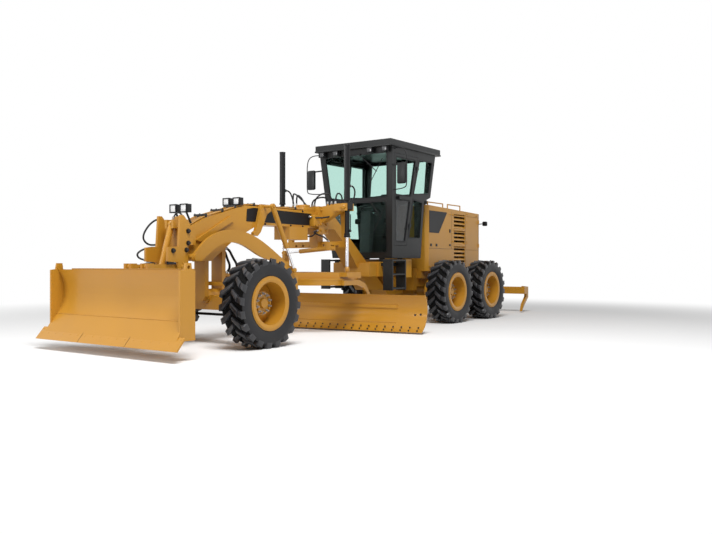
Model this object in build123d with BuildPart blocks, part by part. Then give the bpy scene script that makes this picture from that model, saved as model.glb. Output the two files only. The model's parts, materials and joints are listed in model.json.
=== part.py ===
"""Motor grader with a front dozer blade and a rear ripper.

Millimetres. +X points forward, +Y to the machine's left, +Z up. The ground is Z 0, and the
origin lies on it at the middle of the machine's length, in its centre plane.
"""
import os
from math import asin, atan2, cos, degrees, hypot, radians, sin, sqrt, tan

from build123d import *

os.makedirs("parts", exist_ok=True)

# Overall layout
front_reach = 1850          # front axle to the dozer blade's cutting edge
rear_reach = 9400           # front axle to the ripper's back
axle_to_tandem = 5360       # front axle to the first tandem axle
tandem_gap = 1520           # between the two tandem axles
axle_to_hitch = 4900        # front axle to the articulation pin
axle_x = (rear_reach - front_reach) / 2
first_tandem_x = axle_x - axle_to_tandem
rear_tandem_x = first_tandem_x - tandem_gap
tandem_x = (first_tandem_x + rear_tandem_x) / 2
hitch_x = axle_x - axle_to_hitch
fit_gap = 0.3               # between a part and what it turns or slides on

# Wheels
tyre_r = 605                # to the lugs' tips
tyre_half = 200
tread_r = 578
track_y = 990               # centre plane to a tyre's middle
rim_flange_r = 370
rim_seat_r = 305
rim_half = 182
rim_wall = 14
hub_r = 165
hub_face = 30               # the hub's nut face, outward of the tyre's middle
hub_back = 60               # the hub's back, inward of the tyre's middle
lug_rows = 2
lugs_per_row = 16
lug_width = 95
lug_sweep = 75
lug_reach = (lug_width + lug_sweep) / 2
lug_top = sqrt(tyre_r ** 2 - lug_reach ** 2)
lug_start = 180 / lugs_per_row - degrees(asin(lug_reach / tyre_r))
nut_count = 10
nut_ring_r = 130


def side_profile(points, low, high, mode=Mode.ADD):
    """Extrude an outline in X and Z from Y low to Y high."""
    with BuildSketch(Plane.XZ.offset(-high)) as outline:
        with BuildLine():
            Polyline(*points, close=True)
        make_face()
    extrude(outline.sketch, amount=high - low, mode=mode)


def plan_profile(points, low, high, mode=Mode.ADD):
    """Extrude an outline in X and Y from Z low to Z high."""
    with BuildSketch(Plane.XY.offset(low)) as outline:
        with BuildLine():
            Polyline(*points, close=True)
        make_face()
    extrude(outline.sketch, amount=high - low, mode=mode)


def front_profile(points, low, high, mode=Mode.ADD):
    """Extrude an outline in Y and Z from X low to X high."""
    with BuildSketch(Plane.YZ.offset(low)) as outline:
        with BuildLine():
            Polyline(*points, close=True)
        make_face()
    extrude(outline.sketch, amount=high - low, mode=mode)


def block(x_low, x_high, y_low, y_high, z_low, z_high, mode=Mode.ADD):
    """A box between two corners."""
    middle = ((x_low + x_high) / 2, (y_low + y_high) / 2, (z_low + z_high) / 2)
    with Locations(middle):
        Box(x_high - x_low, y_high - y_low, z_high - z_low, mode=mode)


def bar(start, end, radius, mode=Mode.ADD):
    """A round bar between two points."""
    run = Vector(*end) - Vector(*start)
    with Locations(Plane(origin=start, z_dir=run).location):
        Cylinder(radius, run.length, align=(Align.CENTER, Align.CENTER, Align.MIN), mode=mode)


def cone(start, end, start_radius, end_radius):
    """A round taper between two points."""
    run = Vector(*end) - Vector(*start)
    with Locations(Plane(origin=start, z_dir=run).location):
        Cone(start_radius, end_radius, run.length, align=(Align.CENTER, Align.CENTER, Align.MIN))


def tilted_strip(start, end, width):
    """The four corners of a straight strip of the given width between two points of a profile."""
    run_x = end[0] - start[0]
    run_z = end[1] - start[1]
    length = hypot(run_x, run_z)
    off_x = -run_z / length * width / 2
    off_z = run_x / length * width / 2
    return [
        (start[0] + off_x, start[1] + off_z),
        (end[0] + off_x, end[1] + off_z),
        (end[0] - off_x, end[1] - off_z),
        (start[0] - off_x, start[1] - off_z),
    ]


# Tyre and rim, made once about the Y axis with the outer side at +Y
tyre_rings = [
    # place along the axle, radius to the flats
    (-rim_half + 16, rim_flange_r),
    (-tyre_half, 470),
    (-tyre_half + 40, tread_r),
    (tyre_half - 40, tread_r),
    (tyre_half, 470),
    (rim_half - 16, rim_flange_r),
]
tyre_flats = 2 * lugs_per_row

with BuildPart() as tyre_form:
    for ring_y, ring_r in tyre_rings:
        with BuildSketch(Plane.XZ.offset(-ring_y)):
            RegularPolygon(ring_r, tyre_flats, major_radius=False, rotation=180 / tyre_flats)
    loft(ruled=True)
    pitch = 360 / lugs_per_row
    for row in range(lug_rows):
        out = 1 if row == 0 else -1
        for index in range(lugs_per_row):
            turn = (index + 0.5 * row) * pitch
            seat = Plane(
                origin=((tread_r - 12) * sin(radians(turn)), 0, (tread_r - 12) * cos(radians(turn))),
                x_dir=(cos(radians(turn)), 0, -sin(radians(turn))),
                z_dir=(sin(radians(turn)), 0, cos(radians(turn))),
            )
            with BuildSketch(seat):
                with BuildLine():
                    Polyline(
                        (-lug_reach, -8 * out),
                        (lug_width - lug_reach, -8 * out),
                        (lug_reach, -out * (tyre_half - 14)),
                        (lug_reach - lug_width, -out * (tyre_half - 14)),
                        close=True,
                    )
                make_face()
            extrude(amount=lug_top - tread_r + 12)
    with BuildSketch(Plane.XZ.offset(-rim_half)):
        Circle(rim_seat_r)
    extrude(amount=2 * rim_half, mode=Mode.SUBTRACT)

with BuildPart() as rim_form:
    with BuildSketch(Plane.YZ):
        with BuildLine():
            Polyline(
                (-rim_half, rim_flange_r), (-rim_half + rim_wall, rim_flange_r), (-rim_half + rim_wall, rim_seat_r),
                (rim_half - rim_wall, rim_seat_r), (rim_half - rim_wall, rim_flange_r), (rim_half, rim_flange_r),
                (rim_half, rim_seat_r - rim_wall), (-rim_half, rim_seat_r - rim_wall),
                close=True,
            )
        make_face()
        with BuildLine():
            Polyline(
                (hub_face + 32, 0), (hub_face + 32, 62), (hub_face, 74), (hub_face, hub_r),
                (hub_face - 25, hub_r), (-72, rim_seat_r - rim_wall + 2), (-94, rim_seat_r - rim_wall + 2),
                (-20, hub_r - 15), (-hub_back, hub_r - 15), (-hub_back, 0),
                close=True,
            )
        make_face()
    revolve(axis=Axis.Y)
    with BuildSketch(Plane.XZ.offset(-hub_face - 22)):
        with PolarLocations(nut_ring_r, nut_count):
            RegularPolygon(15, 6)
    extrude(amount=24)

wheels = [
    # name, axle station, side
    ("front_left", axle_x, 1),
    ("front_right", axle_x, -1),
    ("tandem_front_left", first_tandem_x, 1),
    ("tandem_front_right", first_tandem_x, -1),
    ("tandem_rear_left", rear_tandem_x, 1),
    ("tandem_rear_right", rear_tandem_x, -1),
]
for wheel_name, wheel_x, side in wheels:
    facing = 0 if side > 0 else 180
    for piece_name, form in (("tyre", tyre_form), ("rim", rim_form)):
        with BuildPart() as wheel_piece:
            with Locations(Location((wheel_x, side * track_y, tyre_r), (0, lug_start, facing))):
                add(form.part)
        wheel_piece.part.label = f"{piece_name}_{wheel_name}"
        export_step(wheel_piece.part, f"parts/{piece_name}_{wheel_name}.step")

# Front frame: a box beam that slopes down to the axle in front and to the hitch behind
frame_half = 150
frame_top = 2010
frame_bottom = 1735
neck_x = axle_x - 560       # where the gooseneck starts to slope down
bend_x = axle_x - 2700      # where the rear leg starts to slope down
nose_x = axle_x + 540
nose_low = 1180
leg_foot_z = 660            # above the moldboard's swing
hitch_low = 560
hitch_high = 1120
hitch_half = 170
hitch_plate = 60
hitch_pin_r = 45
platform_low = 915
platform_high = 1180
platform_half = 450
side_box_high = 1230
saddle_x = axle_x - 2380    # the lift cylinders' station
saddle_half = 130
saddle_low = 1640
lift_y = 700                # centre plane to a lift cylinder
trunnion_z = 2080
arm_low = 2010
arm_high = 2130
link_bar_z = 1450
link_bar_half = 36          # the bar's centre hole row to its foot
link_bar_rise = 70          # and to its top
link_bar_y = 610

pivot_z = 680               # the front axle's swing pin
pivot_r = 50
leg_gap = 130               # axle to each bolster leg
leg_plate = 70
leg_half = 110
ball_x = axle_x - 340       # the drawbar's swivel
ball_z = 900
ball_half = 65
ball_plate = 34
ball_r = 55
ball_pin_r = 20
arm_low_y = 285             # clear of the drawbar's swing
arm_high_y = 325
arm_x = axle_x + 63
arm_hinge_x = arm_x + 500
arm_hinge_z = 1230
arm_hinge_r = 30
hanger_x = arm_x - 985
hanger_z = 2010
arm_eye_x = arm_x - 1487
arm_eye_z = 1040
arm_pin_r = 18
arm_line_y = arm_high_y + 50

with BuildPart() as front_frame:
    side_profile(
        [
            (nose_x, nose_low), (nose_x, 1640), (axle_x + 250, 1778), (neck_x, frame_top),
            (bend_x, frame_top), (axle_x - 4376, leg_foot_z), (axle_x - 3810, leg_foot_z),
            (axle_x - 3120, 1450), (axle_x - 2757, frame_bottom), (axle_x - 850, frame_bottom),
            (axle_x - 350, 1500), (axle_x + 120, nose_low),
        ],
        -frame_half, frame_half,
    )
    block(axle_x - 4600, axle_x - 3700, -platform_half, platform_half, platform_low, platform_high)
    block(axle_x - 4170, axle_x - 3460, -400, 400, platform_low, 1163)
    block(axle_x - 4580, axle_x - 4080, -600, 600, 890, side_box_high)
    side_profile(
        [
            (axle_x - 865, 2045), (axle_x - 1090, 2045), (axle_x - 1075, 1950), (axle_x - 990, 1900),
            (axle_x - 845, 1620), (axle_x - 780, 1560), (axle_x - 690, 1570), (axle_x - 690, 1610),
            (axle_x - 740, 1640),
        ],
        frame_half, 205,
    )
    bar((hanger_x, 200, hanger_z), (hanger_x, arm_line_y + 32, hanger_z), arm_pin_r)
    bar((arm_hinge_x, frame_half, arm_hinge_z), (arm_hinge_x, arm_low_y - 15, arm_hinge_z), arm_hinge_r + 18)
    bar((arm_hinge_x, frame_half, arm_hinge_z), (arm_hinge_x, arm_high_y + 22, arm_hinge_z), arm_hinge_r)
    side_profile(
        [
            (axle_x + 430, 1470), (axle_x + 330, 1450), (axle_x - 300, 1766), (axle_x - 235, 1835),
        ],
        frame_half, frame_half + 30,
    )
    block(axle_x - 1972, axle_x - 1513, -120, 200, 1530, frame_bottom)
    side_profile(
        [
            (axle_x - 4300, leg_foot_z + 60), (axle_x - 4376, hitch_low), (hitch_x + 190, hitch_low),
            (hitch_x + 190, hitch_high), (axle_x - 4300, hitch_high),
        ],
        -hitch_half, hitch_half,
    )
    for plate_low in (hitch_low, hitch_high - hitch_plate):
        with BuildSketch(Plane.XY.offset(plate_low)):
            with Locations((hitch_x, 0)):
                Circle(hitch_half)
            with Locations((hitch_x + 100, 0)):
                Rectangle(200, 2 * hitch_half)
        extrude(amount=hitch_plate)
    bar((hitch_x, 0, hitch_low - 20), (hitch_x, 0, hitch_high + 20), hitch_pin_r)
    for leg_x, leg_top in ((axle_x + leg_gap, nose_low + 20), (axle_x - leg_gap - leg_plate, 1420)):
        front_profile(
            [
                (-leg_half, leg_top), (-leg_half, pivot_z), (-60, pivot_z - 60), (60, pivot_z - 60),
                (leg_half, pivot_z), (leg_half, leg_top),
            ],
            leg_x, leg_x + leg_plate,
        )
    bar((axle_x - leg_gap - leg_plate, 0, pivot_z), (axle_x + leg_gap + leg_plate, 0, pivot_z), pivot_r)
    for plate_low in (ball_z - ball_half - ball_plate, ball_z + ball_half):
        block(ball_x - 50, axle_x - leg_gap - leg_plate, -48, 48, plate_low, plate_low + ball_plate)
    bar((ball_x, 0, ball_z - ball_half), (ball_x, 0, ball_z + ball_half), ball_pin_r)
front_frame.part.label = "front_frame"
export_step(front_frame.part, "parts/front_frame.step")

shift_x = saddle_x + 100    # the centre-shift cylinder's station
shift_high_y = 440
shift_high_z = 1400
shift_low_y = 540
shift_low_z = 1330
link_bar_back = saddle_x - 135
link_bar_front = saddle_x - 75
shift_pin_r = 18

# Saddle around the beam, with an arm to each lift cylinder and the link bar below
fork_plate = 26
trunnion_half = 72          # the trunnion block's half length along X
trunnion_pin_r = 25
with BuildPart() as saddle:
    block(saddle_x - saddle_half, saddle_x + saddle_half, -frame_half - 60, frame_half + 60, saddle_low, frame_top + 90)
    block(saddle_x - saddle_half - 5, saddle_x + saddle_half + 5, -frame_half, frame_half,
          frame_bottom, frame_top, mode=Mode.SUBTRACT)
    for side in (1, -1):
        front_profile(
            [
                (side * (frame_half + 60), arm_low - 190), (side * (lift_y - 95), arm_low),
                (side * (lift_y - 95), arm_high), (side * (frame_half + 60), arm_high - 30),
            ],
            saddle_x - 60, saddle_x + 60,
        )
        for fork_x in (saddle_x - trunnion_half - 3 - fork_plate, saddle_x + trunnion_half + 3):
            front_profile(
                [
                    (side * (lift_y - 200), arm_low), (side * (lift_y + 60), arm_low),
                    (side * (lift_y + 60), arm_high), (side * (lift_y - 200), arm_high),
                ],
                fork_x, fork_x + fork_plate,
            )
        block(
            saddle_x - trunnion_half - 3 - fork_plate, saddle_x + trunnion_half + 3 + fork_plate,
            min(side * (lift_y - 200), side * (lift_y - 95)), max(side * (lift_y - 200), side * (lift_y - 95)),
            arm_low, arm_high,
        )
        front_profile(
            [
                (side * 500, arm_low + 10), (side * 600, arm_low + 10),
                (side * (link_bar_y + 30), link_bar_z - link_bar_half), (side * (link_bar_y - 60), link_bar_z - link_bar_half),
            ],
            link_bar_back, link_bar_front,
        )
        bar(
            (saddle_x - trunnion_half - 60, side * lift_y, trunnion_z),
            (saddle_x + trunnion_half + 60, side * lift_y, trunnion_z),
            trunnion_pin_r + fit_gap, mode=Mode.SUBTRACT,
        )
    block(
        link_bar_back, link_bar_front, -link_bar_y - 30, link_bar_y + 30,
        link_bar_z - link_bar_half, link_bar_z + link_bar_rise,
    )
    block(link_bar_back, link_bar_front + 85, -90, 90, link_bar_z - link_bar_half, saddle_low + 10)
    for plate_x in (shift_x - 76, shift_x + 46):
        block(plate_x, plate_x + 30, shift_high_y - 35, shift_high_y + 35, shift_high_z - 35, link_bar_z + 50)
    block(link_bar_back, shift_x + 76, shift_high_y - 35, shift_high_y + 35, link_bar_z, link_bar_z + 50)
    bar(
        (shift_x - 76, shift_high_y, shift_high_z), (shift_x + 76, shift_high_y, shift_high_z), shift_pin_r,
    )
    with BuildSketch(Plane.YZ.offset(link_bar_back)):
        with Locations((0, link_bar_z)):
            with GridLocations(150, 1, 7, 1):
                Circle(23)
    extrude(amount=60, mode=Mode.SUBTRACT)
saddle.part.label = "lift_saddle"
export_step(saddle.part, "parts/lift_saddle.step")

# Front axle, with a leaning yoke and a steered knuckle at each end
beam_half = 95
lean_y = 570                # the yoke's lean pin
lean_z = 560
lean_pin_r = 30
kingpin_y = 700
kingpin_r = 25
knuckle_r = 46
boss_height = 50
knuckle_low = 433
knuckle_high = 717
spindle_r = 62
tie_arm = 250               # kingpin to the tie rod's ball
tie_z = 470
tie_pin_z = 398             # the cross pin that the tie rod's end tips on
tie_eye_r = 26
tie_eye_half = 26
tie_play = 24               # the leaning wheels bring the tie rod's ends closer
lean_bar_z = 860
lean_play = 4               # the right eye's play on its pin

with BuildPart() as front_axle:
    front_profile(
        [
            (-480, 490), (480, 490), (480, 640), (160, 700), (-160, 700), (-480, 640),
        ],
        axle_x - beam_half, axle_x + beam_half,
    )
    bar((axle_x - leg_gap + 5, 0, pivot_z), (axle_x + leg_gap - 5, 0, pivot_z), 105)
    for side in (1, -1):
        for plate_x in (axle_x - beam_half, axle_x + beam_half - 35):
            front_profile(
                [
                    (side * 470, 490), (side * (lean_y + 40), 515), (side * (lean_y + 40), 605),
                    (side * 470, 640),
                ],
                plate_x, plate_x + 35,
            )
        bar((axle_x - beam_half, side * lean_y, lean_z), (axle_x + beam_half, side * lean_y, lean_z), lean_pin_r)
    bar((axle_x - leg_gap, 0, pivot_z), (axle_x + leg_gap, 0, pivot_z), pivot_r + fit_gap, mode=Mode.SUBTRACT)
front_axle.part.label = "front_axle"
export_step(front_axle.part, "parts/front_axle.step")

for side_name, side in (("left", 1), ("right", -1)):
    with BuildPart() as yoke:
        front_profile(
            [
                (side * (lean_y - 42), lean_z - 42), (side * (kingpin_y - 60), lean_z - 60),
                (side * (kingpin_y - 60), lean_bar_z + 45), (side * (lean_y + 5), lean_bar_z + 45),
                (side * (lean_y + 5), lean_z + 90), (side * (lean_y - 42), lean_z + 42),
            ],
            axle_x - 52, axle_x + 52,
        )
        block(
            axle_x - 52, axle_x + 52, min(side * (kingpin_y - 85), side * (kingpin_y - 58)),
            max(side * (kingpin_y - 85), side * (kingpin_y - 58)), knuckle_low - boss_height - 3,
            knuckle_high + boss_height + 3,
        )
        for boss_low in (knuckle_low - boss_height - 3, knuckle_high + 3):
            with BuildSketch(Plane.XY.offset(boss_low)):
                with Locations((axle_x, side * kingpin_y)):
                    Circle(52)
                with Locations((axle_x, side * (kingpin_y - 35))):
                    Rectangle(104, 70)
            extrude(amount=boss_height)
        bar(
            (axle_x, side * kingpin_y, knuckle_low - boss_height - 3),
            (axle_x, side * kingpin_y, knuckle_high + boss_height + 3), kingpin_r,
        )
        bar(
            (axle_x - 52, side * lean_y, lean_z), (axle_x + 52, side * lean_y, lean_z),
            lean_pin_r + fit_gap, mode=Mode.SUBTRACT,
        )
        bar(
            (axle_x - 71, side * (lean_y + 30), lean_bar_z), (axle_x + 71, side * (lean_y + 30), lean_bar_z), 16,
        )
        block(
            axle_x - 53, axle_x - 6, min(side * (kingpin_y - 86), side * (kingpin_y - 57)),
            max(side * (kingpin_y - 86), side * (kingpin_y - 57)), tie_z - 25, tie_z + 25, mode=Mode.SUBTRACT,
        )
    yoke.part.label = f"lean_yoke_{side_name}"
    export_step(yoke.part, f"parts/lean_yoke_{side_name}.step")

    with BuildPart() as knuckle:
        bar((axle_x, side * kingpin_y, knuckle_low), (axle_x, side * kingpin_y, knuckle_high), knuckle_r)
        bar(
            (axle_x, side * kingpin_y, tyre_r),
            (axle_x, side * (track_y - hub_back - fit_gap), tyre_r), spindle_r,
        )
        block(
            axle_x - tie_arm, axle_x, min(side * (kingpin_y - 22), side * (kingpin_y + 22)),
            max(side * (kingpin_y - 22), side * (kingpin_y + 22)), tie_z - 15, tie_z + 15,
        )
        bar(
            (axle_x - tie_arm, side * kingpin_y, tie_z - 15), (axle_x - tie_arm, side * kingpin_y, tie_z + 15), 32,
        )
        bar(
            (axle_x, side * kingpin_y, knuckle_low), (axle_x, side * kingpin_y, knuckle_high),
            kingpin_r + fit_gap, mode=Mode.SUBTRACT,
        )
        if side < 0:
            bar(
                (axle_x - tie_arm, side * kingpin_y, tie_pin_z + 20), (axle_x - tie_arm, side * kingpin_y, tie_z), 12,
            )
            bar(
                (axle_x - tie_arm - tie_eye_half, side * kingpin_y, tie_pin_z),
                (axle_x - tie_arm + tie_eye_half, side * kingpin_y, tie_pin_z), tie_eye_r,
            )
    knuckle.part.label = f"knuckle_{side_name}"
    export_step(knuckle.part, f"parts/knuckle_{side_name}.step")

with BuildPart() as tie_end:
    bar((axle_x - tie_arm, kingpin_y, tie_pin_z + 20), (axle_x - tie_arm, kingpin_y, tie_z - 15 - fit_gap), 12)
    bar(
        (axle_x - tie_arm - tie_eye_half, kingpin_y, tie_pin_z), (axle_x - tie_arm + tie_eye_half, kingpin_y, tie_pin_z),
        tie_eye_r,
    )
tie_end.part.label = "tie_rod_end"
export_step(tie_end.part, "parts/tie_rod_end.step")

with BuildPart() as tie_rod:
    bar(
        (axle_x - tie_arm, kingpin_y - tie_eye_r - 1, tie_pin_z),
        (axle_x - tie_arm, -kingpin_y + tie_eye_r + tie_play, tie_pin_z), 20,
    )
    bar(
        (axle_x - tie_arm - tie_eye_half, kingpin_y, tie_pin_z), (axle_x - tie_arm + tie_eye_half, kingpin_y, tie_pin_z),
        tie_eye_r + fit_gap, mode=Mode.SUBTRACT,
    )
tie_rod.part.label = "tie_rod"
export_step(tie_rod.part, "parts/tie_rod.step")

with BuildPart() as lean_bar:
    for plate_x in (axle_x - 52 - 5 - 14, axle_x + 52 + 5):
        front_profile(
            [
                (lean_y + 58, lean_bar_z - 26), (lean_y + 58, lean_bar_z + 26),
                (-lean_y - 58, lean_bar_z + 26), (-lean_y - 58, lean_bar_z - 26),
            ],
            plate_x, plate_x + 14,
        )
        for side in (1, -1):
            bar(
                (plate_x, side * (lean_y + 30), lean_bar_z), (plate_x + 14, side * (lean_y + 30), lean_bar_z),
                16 + (fit_gap if side > 0 else lean_play), mode=Mode.SUBTRACT,
            )
    block(axle_x - 60, axle_x + 60, -40, 40, lean_bar_z - 20, lean_bar_z + 20)
lean_bar.part.label = "lean_bar"
export_step(lean_bar.part, "parts/lean_bar.step")

# Drawbar: a swivel block in front, a tongue, two spreading legs and the turntable plate
drawbar_low = 900
drawbar_high = 1000
tongue_half = 98
circle_x = axle_x - 2450
circle_r = 705
circle_bore_r = 620
circle_low = 790
circle_high = 870
lift_pin_r = 25
lift_eye_z = 1056
lift_top_z = 3080
lift_low_z = 1580
barrel_r = 50
tube_r = 38
rod_r = 24
bore_r = 30
lift_cap_r = 40              # the cap over a lift rod's ball
lift_stud_r = 24
end_gap = 4                  # a rod's head stands off its opened eye by this much

with BuildPart() as drawbar_swivel:
    bar(
        (ball_x, 0, ball_z - ball_half + fit_gap), (ball_x, 0, ball_z + ball_half - fit_gap), ball_r,
    )
    bar((ball_x, -105, ball_z), (ball_x, 105, ball_z), lift_pin_r)
    bar((ball_x, 0, ball_z - ball_half), (ball_x, 0, ball_z + ball_half), ball_pin_r + fit_gap, mode=Mode.SUBTRACT)
drawbar_swivel.part.label = "drawbar_swivel"
export_step(drawbar_swivel.part, "parts/drawbar_swivel.step")

with BuildPart() as drawbar:
    for side in (1, -1):
        side_profile(
            [
                (ball_x + 45, ball_z - 45), (ball_x + 45, ball_z + 45), (ball_x - 140, ball_z + 70),
                (ball_x - 140, ball_z - 40),
            ],
            min(side * 62, side * 104), max(side * 62, side * 104),
        )
        bar((ball_x, side * 60, ball_z), (ball_x, side * 106, ball_z), lift_pin_r + fit_gap, mode=Mode.SUBTRACT)
    side_profile(
        [
            (ball_x - 80, ball_z - 40), (ball_x - 80, ball_z + 65), (axle_x - 1300, drawbar_high + 40),
            (axle_x - 1760, drawbar_high + 40), (axle_x - 1760, drawbar_low),
        ],
        -tongue_half, tongue_half,
    )
    for side in (1, -1):
        plan_profile(
            [
                (axle_x - 1600, 0), (axle_x - 1600, side * tongue_half), (axle_x - 1760, side * tongue_half),
                (axle_x - 2250, side * 640), (axle_x - 2800, side * 640), (axle_x - 2800, side * 520),
                (axle_x - 2280, side * 500), (axle_x - 1850, side * 30), (axle_x - 1850, 0),
            ],
            drawbar_low, drawbar_high,
        )
        block(
            saddle_x - 60, saddle_x + 120, min(side * 560, side * 780), max(side * 560, side * 780),
            drawbar_low + 30, drawbar_high,
        )
    block(axle_x - 2860, axle_x - 2740, -640, 640, drawbar_low, drawbar_high)
    with BuildSketch(Plane.XY.offset(circle_high + fit_gap)):
        with Locations((circle_x, 0)):
            Circle(circle_r + 5)
            Circle(circle_r - 190, mode=Mode.SUBTRACT)
    extrude(amount=drawbar_low - circle_high - fit_gap)
    bar((axle_x - 1620, 0, drawbar_low - 20), (axle_x - 1620, 0, drawbar_high + 180), 84)
    for ear_x in (shift_x - 60, shift_x + 30):
        block(
            ear_x, ear_x + 30, -shift_low_y - 28, -shift_low_y + 28, drawbar_high - 20, shift_low_z + 30,
        )
    block(
        shift_x - 30, shift_x + 30, -shift_low_y - 28, -shift_low_y + 28, drawbar_high - 20, shift_low_z - 60,
    )
    bar((shift_x - 60, -shift_low_y, shift_low_z), (shift_x + 60, -shift_low_y, shift_low_z), shift_pin_r + 20)
    for side in (1, -1):
        bar((saddle_x, side * lift_y, drawbar_high - 20), (saddle_x, side * lift_y, lift_eye_z), lift_stud_r)
        bar((saddle_x, side * lift_y, lift_eye_z - 38), (saddle_x, side * lift_y, lift_eye_z + 12), lift_cap_r)
        cone(
            (saddle_x, side * lift_y, lift_eye_z + 12), (saddle_x, side * lift_y, lift_eye_z + 38), lift_cap_r, rod_r,
        )
drawbar.part.label = "drawbar"
export_step(drawbar.part, "parts/drawbar.step")

# Circle with its two arms, the blade bracket and the moldboard, made square and then turned together
blade_turn = 6.5            # degrees, left end back
board_half = 1829
board_low = (-193, 30)
board_deep = (-412, 293)
board_high = (-340, 628)
board_plate = 22
rail_half = 1300
rail_size = 50
rail_back = -500
rail_heights = (150, 430)
tip_x = -560
tip_z = 230
tip_pin_r = 30
arm_y = 700
arm_plate = 40
bracket_y = 640
bracket_plate = 55
board_shift = -(board_low[0] + board_deep[0] - board_plate) / 2 * tan(radians(blade_turn))
circle_place = Location((circle_x, 0, 0), (0, 0, blade_turn))

with BuildPart() as circle_form:
    with BuildSketch(Plane.XY.offset(circle_low)):
        Circle(circle_r)
        Circle(circle_bore_r, mode=Mode.SUBTRACT)
    extrude(amount=circle_high - circle_low)
    for side in (1, -1):
        near = min(side * arm_y, side * (arm_y + arm_plate))
        side_profile(
            [
                (330, circle_low), (330, circle_high), (-175, circle_high), (-400, 800), (-560, 640),
                (-625, 420), (-625, 190), (-535, 170), (-535, 440), (-500, 560), (-420, 670), (-330, 740),
                (-150, circle_low),
            ],
            near, near + arm_plate,
        )
        block(-240, 240, min(side * 600, side * (arm_y + 10)), max(side * 600, side * (arm_y + 10)), circle_low, circle_high)
        bar((tip_x, side * (bracket_y - 5), tip_z), (tip_x, side * (arm_y + arm_plate + 12), tip_z), tip_pin_r)
with BuildPart() as circle:
    with Locations(circle_place):
        add(circle_form.part)
circle.part.label = "circle"
export_step(circle.part, "parts/circle.step")

with BuildPart() as bracket_form:
    for side in (1, -1):
        near = min(side * bracket_y, side * (bracket_y + bracket_plate))
        side_profile(
            [
                (-472, 95), (-472, 500), (-560, 500), (-620, 420), (-620, 190), (-560, 95),
            ],
            near, near + bracket_plate,
        )
        for rail_z in rail_heights:
            block(
                rail_back - fit_gap, -460, near - 5, near + bracket_plate + 5,
                rail_z - rail_size / 2 - fit_gap, rail_z + rail_size / 2 + fit_gap, mode=Mode.SUBTRACT,
            )
        bar((tip_x, near - 5, tip_z), (tip_x, near + bracket_plate + 5, tip_z), tip_pin_r + fit_gap, mode=Mode.SUBTRACT)
    bar((-575, -bracket_y - 10, 350), (-575, bracket_y + 10, 350), 42)
with BuildPart() as blade_bracket:
    with Locations(circle_place):
        add(bracket_form.part)
blade_bracket.part.label = "blade_bracket"
export_step(blade_bracket.part, "parts/blade_bracket.step")

with BuildPart() as board_form:
    with BuildSketch(Plane.XZ.offset(-board_half - board_shift)):
        with BuildLine():
            ThreePointArc(board_low, board_deep, board_high)
            Line(board_high, (board_high[0] - board_plate, board_high[1]))
            ThreePointArc(
                (board_high[0] - board_plate, board_high[1]), (board_deep[0] - board_plate, board_deep[1]),
                (board_low[0] - board_plate, board_low[1]),
            )
            Line((board_low[0] - board_plate, board_low[1]), board_low)
        make_face()
    extrude(amount=2 * board_half)
    for rail_z, rail_front in zip(rail_heights, (-345, -405)):
        block(
            rail_back, rail_front, board_shift - rail_half, board_shift + rail_half,
            rail_z - rail_size / 2, rail_z + rail_size / 2,
        )
with BuildPart() as moldboard:
    with Locations(circle_place):
        add(board_form.part)
moldboard.part.label = "moldboard"
export_step(moldboard.part, "parts/moldboard.step")

# Lift cylinders, hung from the saddle's forks and standing on the drawbar
for side_name, side in (("left", 1), ("right", -1)):
    y = side * lift_y
    with BuildPart() as lift_barrel:
        bar((saddle_x, y, lift_low_z), (saddle_x, y, 2200), tube_r)
        bar((saddle_x, y, 2180), (saddle_x, y, lift_top_z), barrel_r)
        bar((saddle_x, y, lift_low_z), (saddle_x, y, lift_low_z + 60), barrel_r)
        block(saddle_x - trunnion_half, saddle_x + trunnion_half, y - 68, y + 68, trunnion_z - 48, trunnion_z + 60)
        bar(
            (saddle_x - trunnion_half - 40, y, trunnion_z), (saddle_x + trunnion_half + 40, y, trunnion_z),
            trunnion_pin_r,
        )
        bar((saddle_x, y, lift_low_z - 1), (saddle_x, y, lift_top_z - 40), bore_r, mode=Mode.SUBTRACT)
    lift_barrel.part.label = f"lift_barrel_{side_name}"
    export_step(lift_barrel.part, f"parts/lift_barrel_{side_name}.step")

    with BuildPart() as lift_rod:
        bar((saddle_x, y, lift_eye_z + 38 + end_gap), (saddle_x, y, 2400), rod_r)
        bar((saddle_x, y, 2350), (saddle_x, y, 2400), bore_r - fit_gap)
    lift_rod.part.label = f"lift_rod_{side_name}"
    export_step(lift_rod.part, f"parts/lift_rod_{side_name}.step")


def cylinder_pair(name, pin, eye, pin_half, outer_r, inner_r, barrel_share, tail_share, pin_bore, eye_bore, across):
    """Write a barrel with its pin end and a rod up to the eye on what it pushes, on one line."""
    length = hypot(eye[0] - pin[0], eye[1] - pin[1], eye[2] - pin[2])

    def on_line(distance):
        return tuple(a + (b - a) * distance / length for a, b in zip(pin, eye))

    def pin_ends(centre, half):
        return tuple(c - half * d for c, d in zip(centre, across)), tuple(c + half * d for c, d in zip(centre, across))

    with BuildPart() as barrel:
        bar(on_line(25), on_line(length * barrel_share), outer_r)
        bar(*pin_ends(pin, pin_half), pin_bore + 22)
        bar(on_line(90), on_line(length * barrel_share + 5), inner_r + 5, mode=Mode.SUBTRACT)
        bar(*pin_ends(pin, pin_half + 5), pin_bore + fit_gap, mode=Mode.SUBTRACT)
    barrel.part.label = f"{name}_barrel"
    export_step(barrel.part, f"parts/{name}_barrel.step")
    with BuildPart() as rod:
        bar(on_line(length * tail_share), on_line(length - eye_bore - 20 - end_gap), inner_r)
        bar(on_line(length * tail_share), on_line(length * tail_share + 40), inner_r + 5 - fit_gap)
    rod.part.label = f"{name}_rod"
    export_step(rod.part, f"parts/{name}_rod.step")


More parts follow.
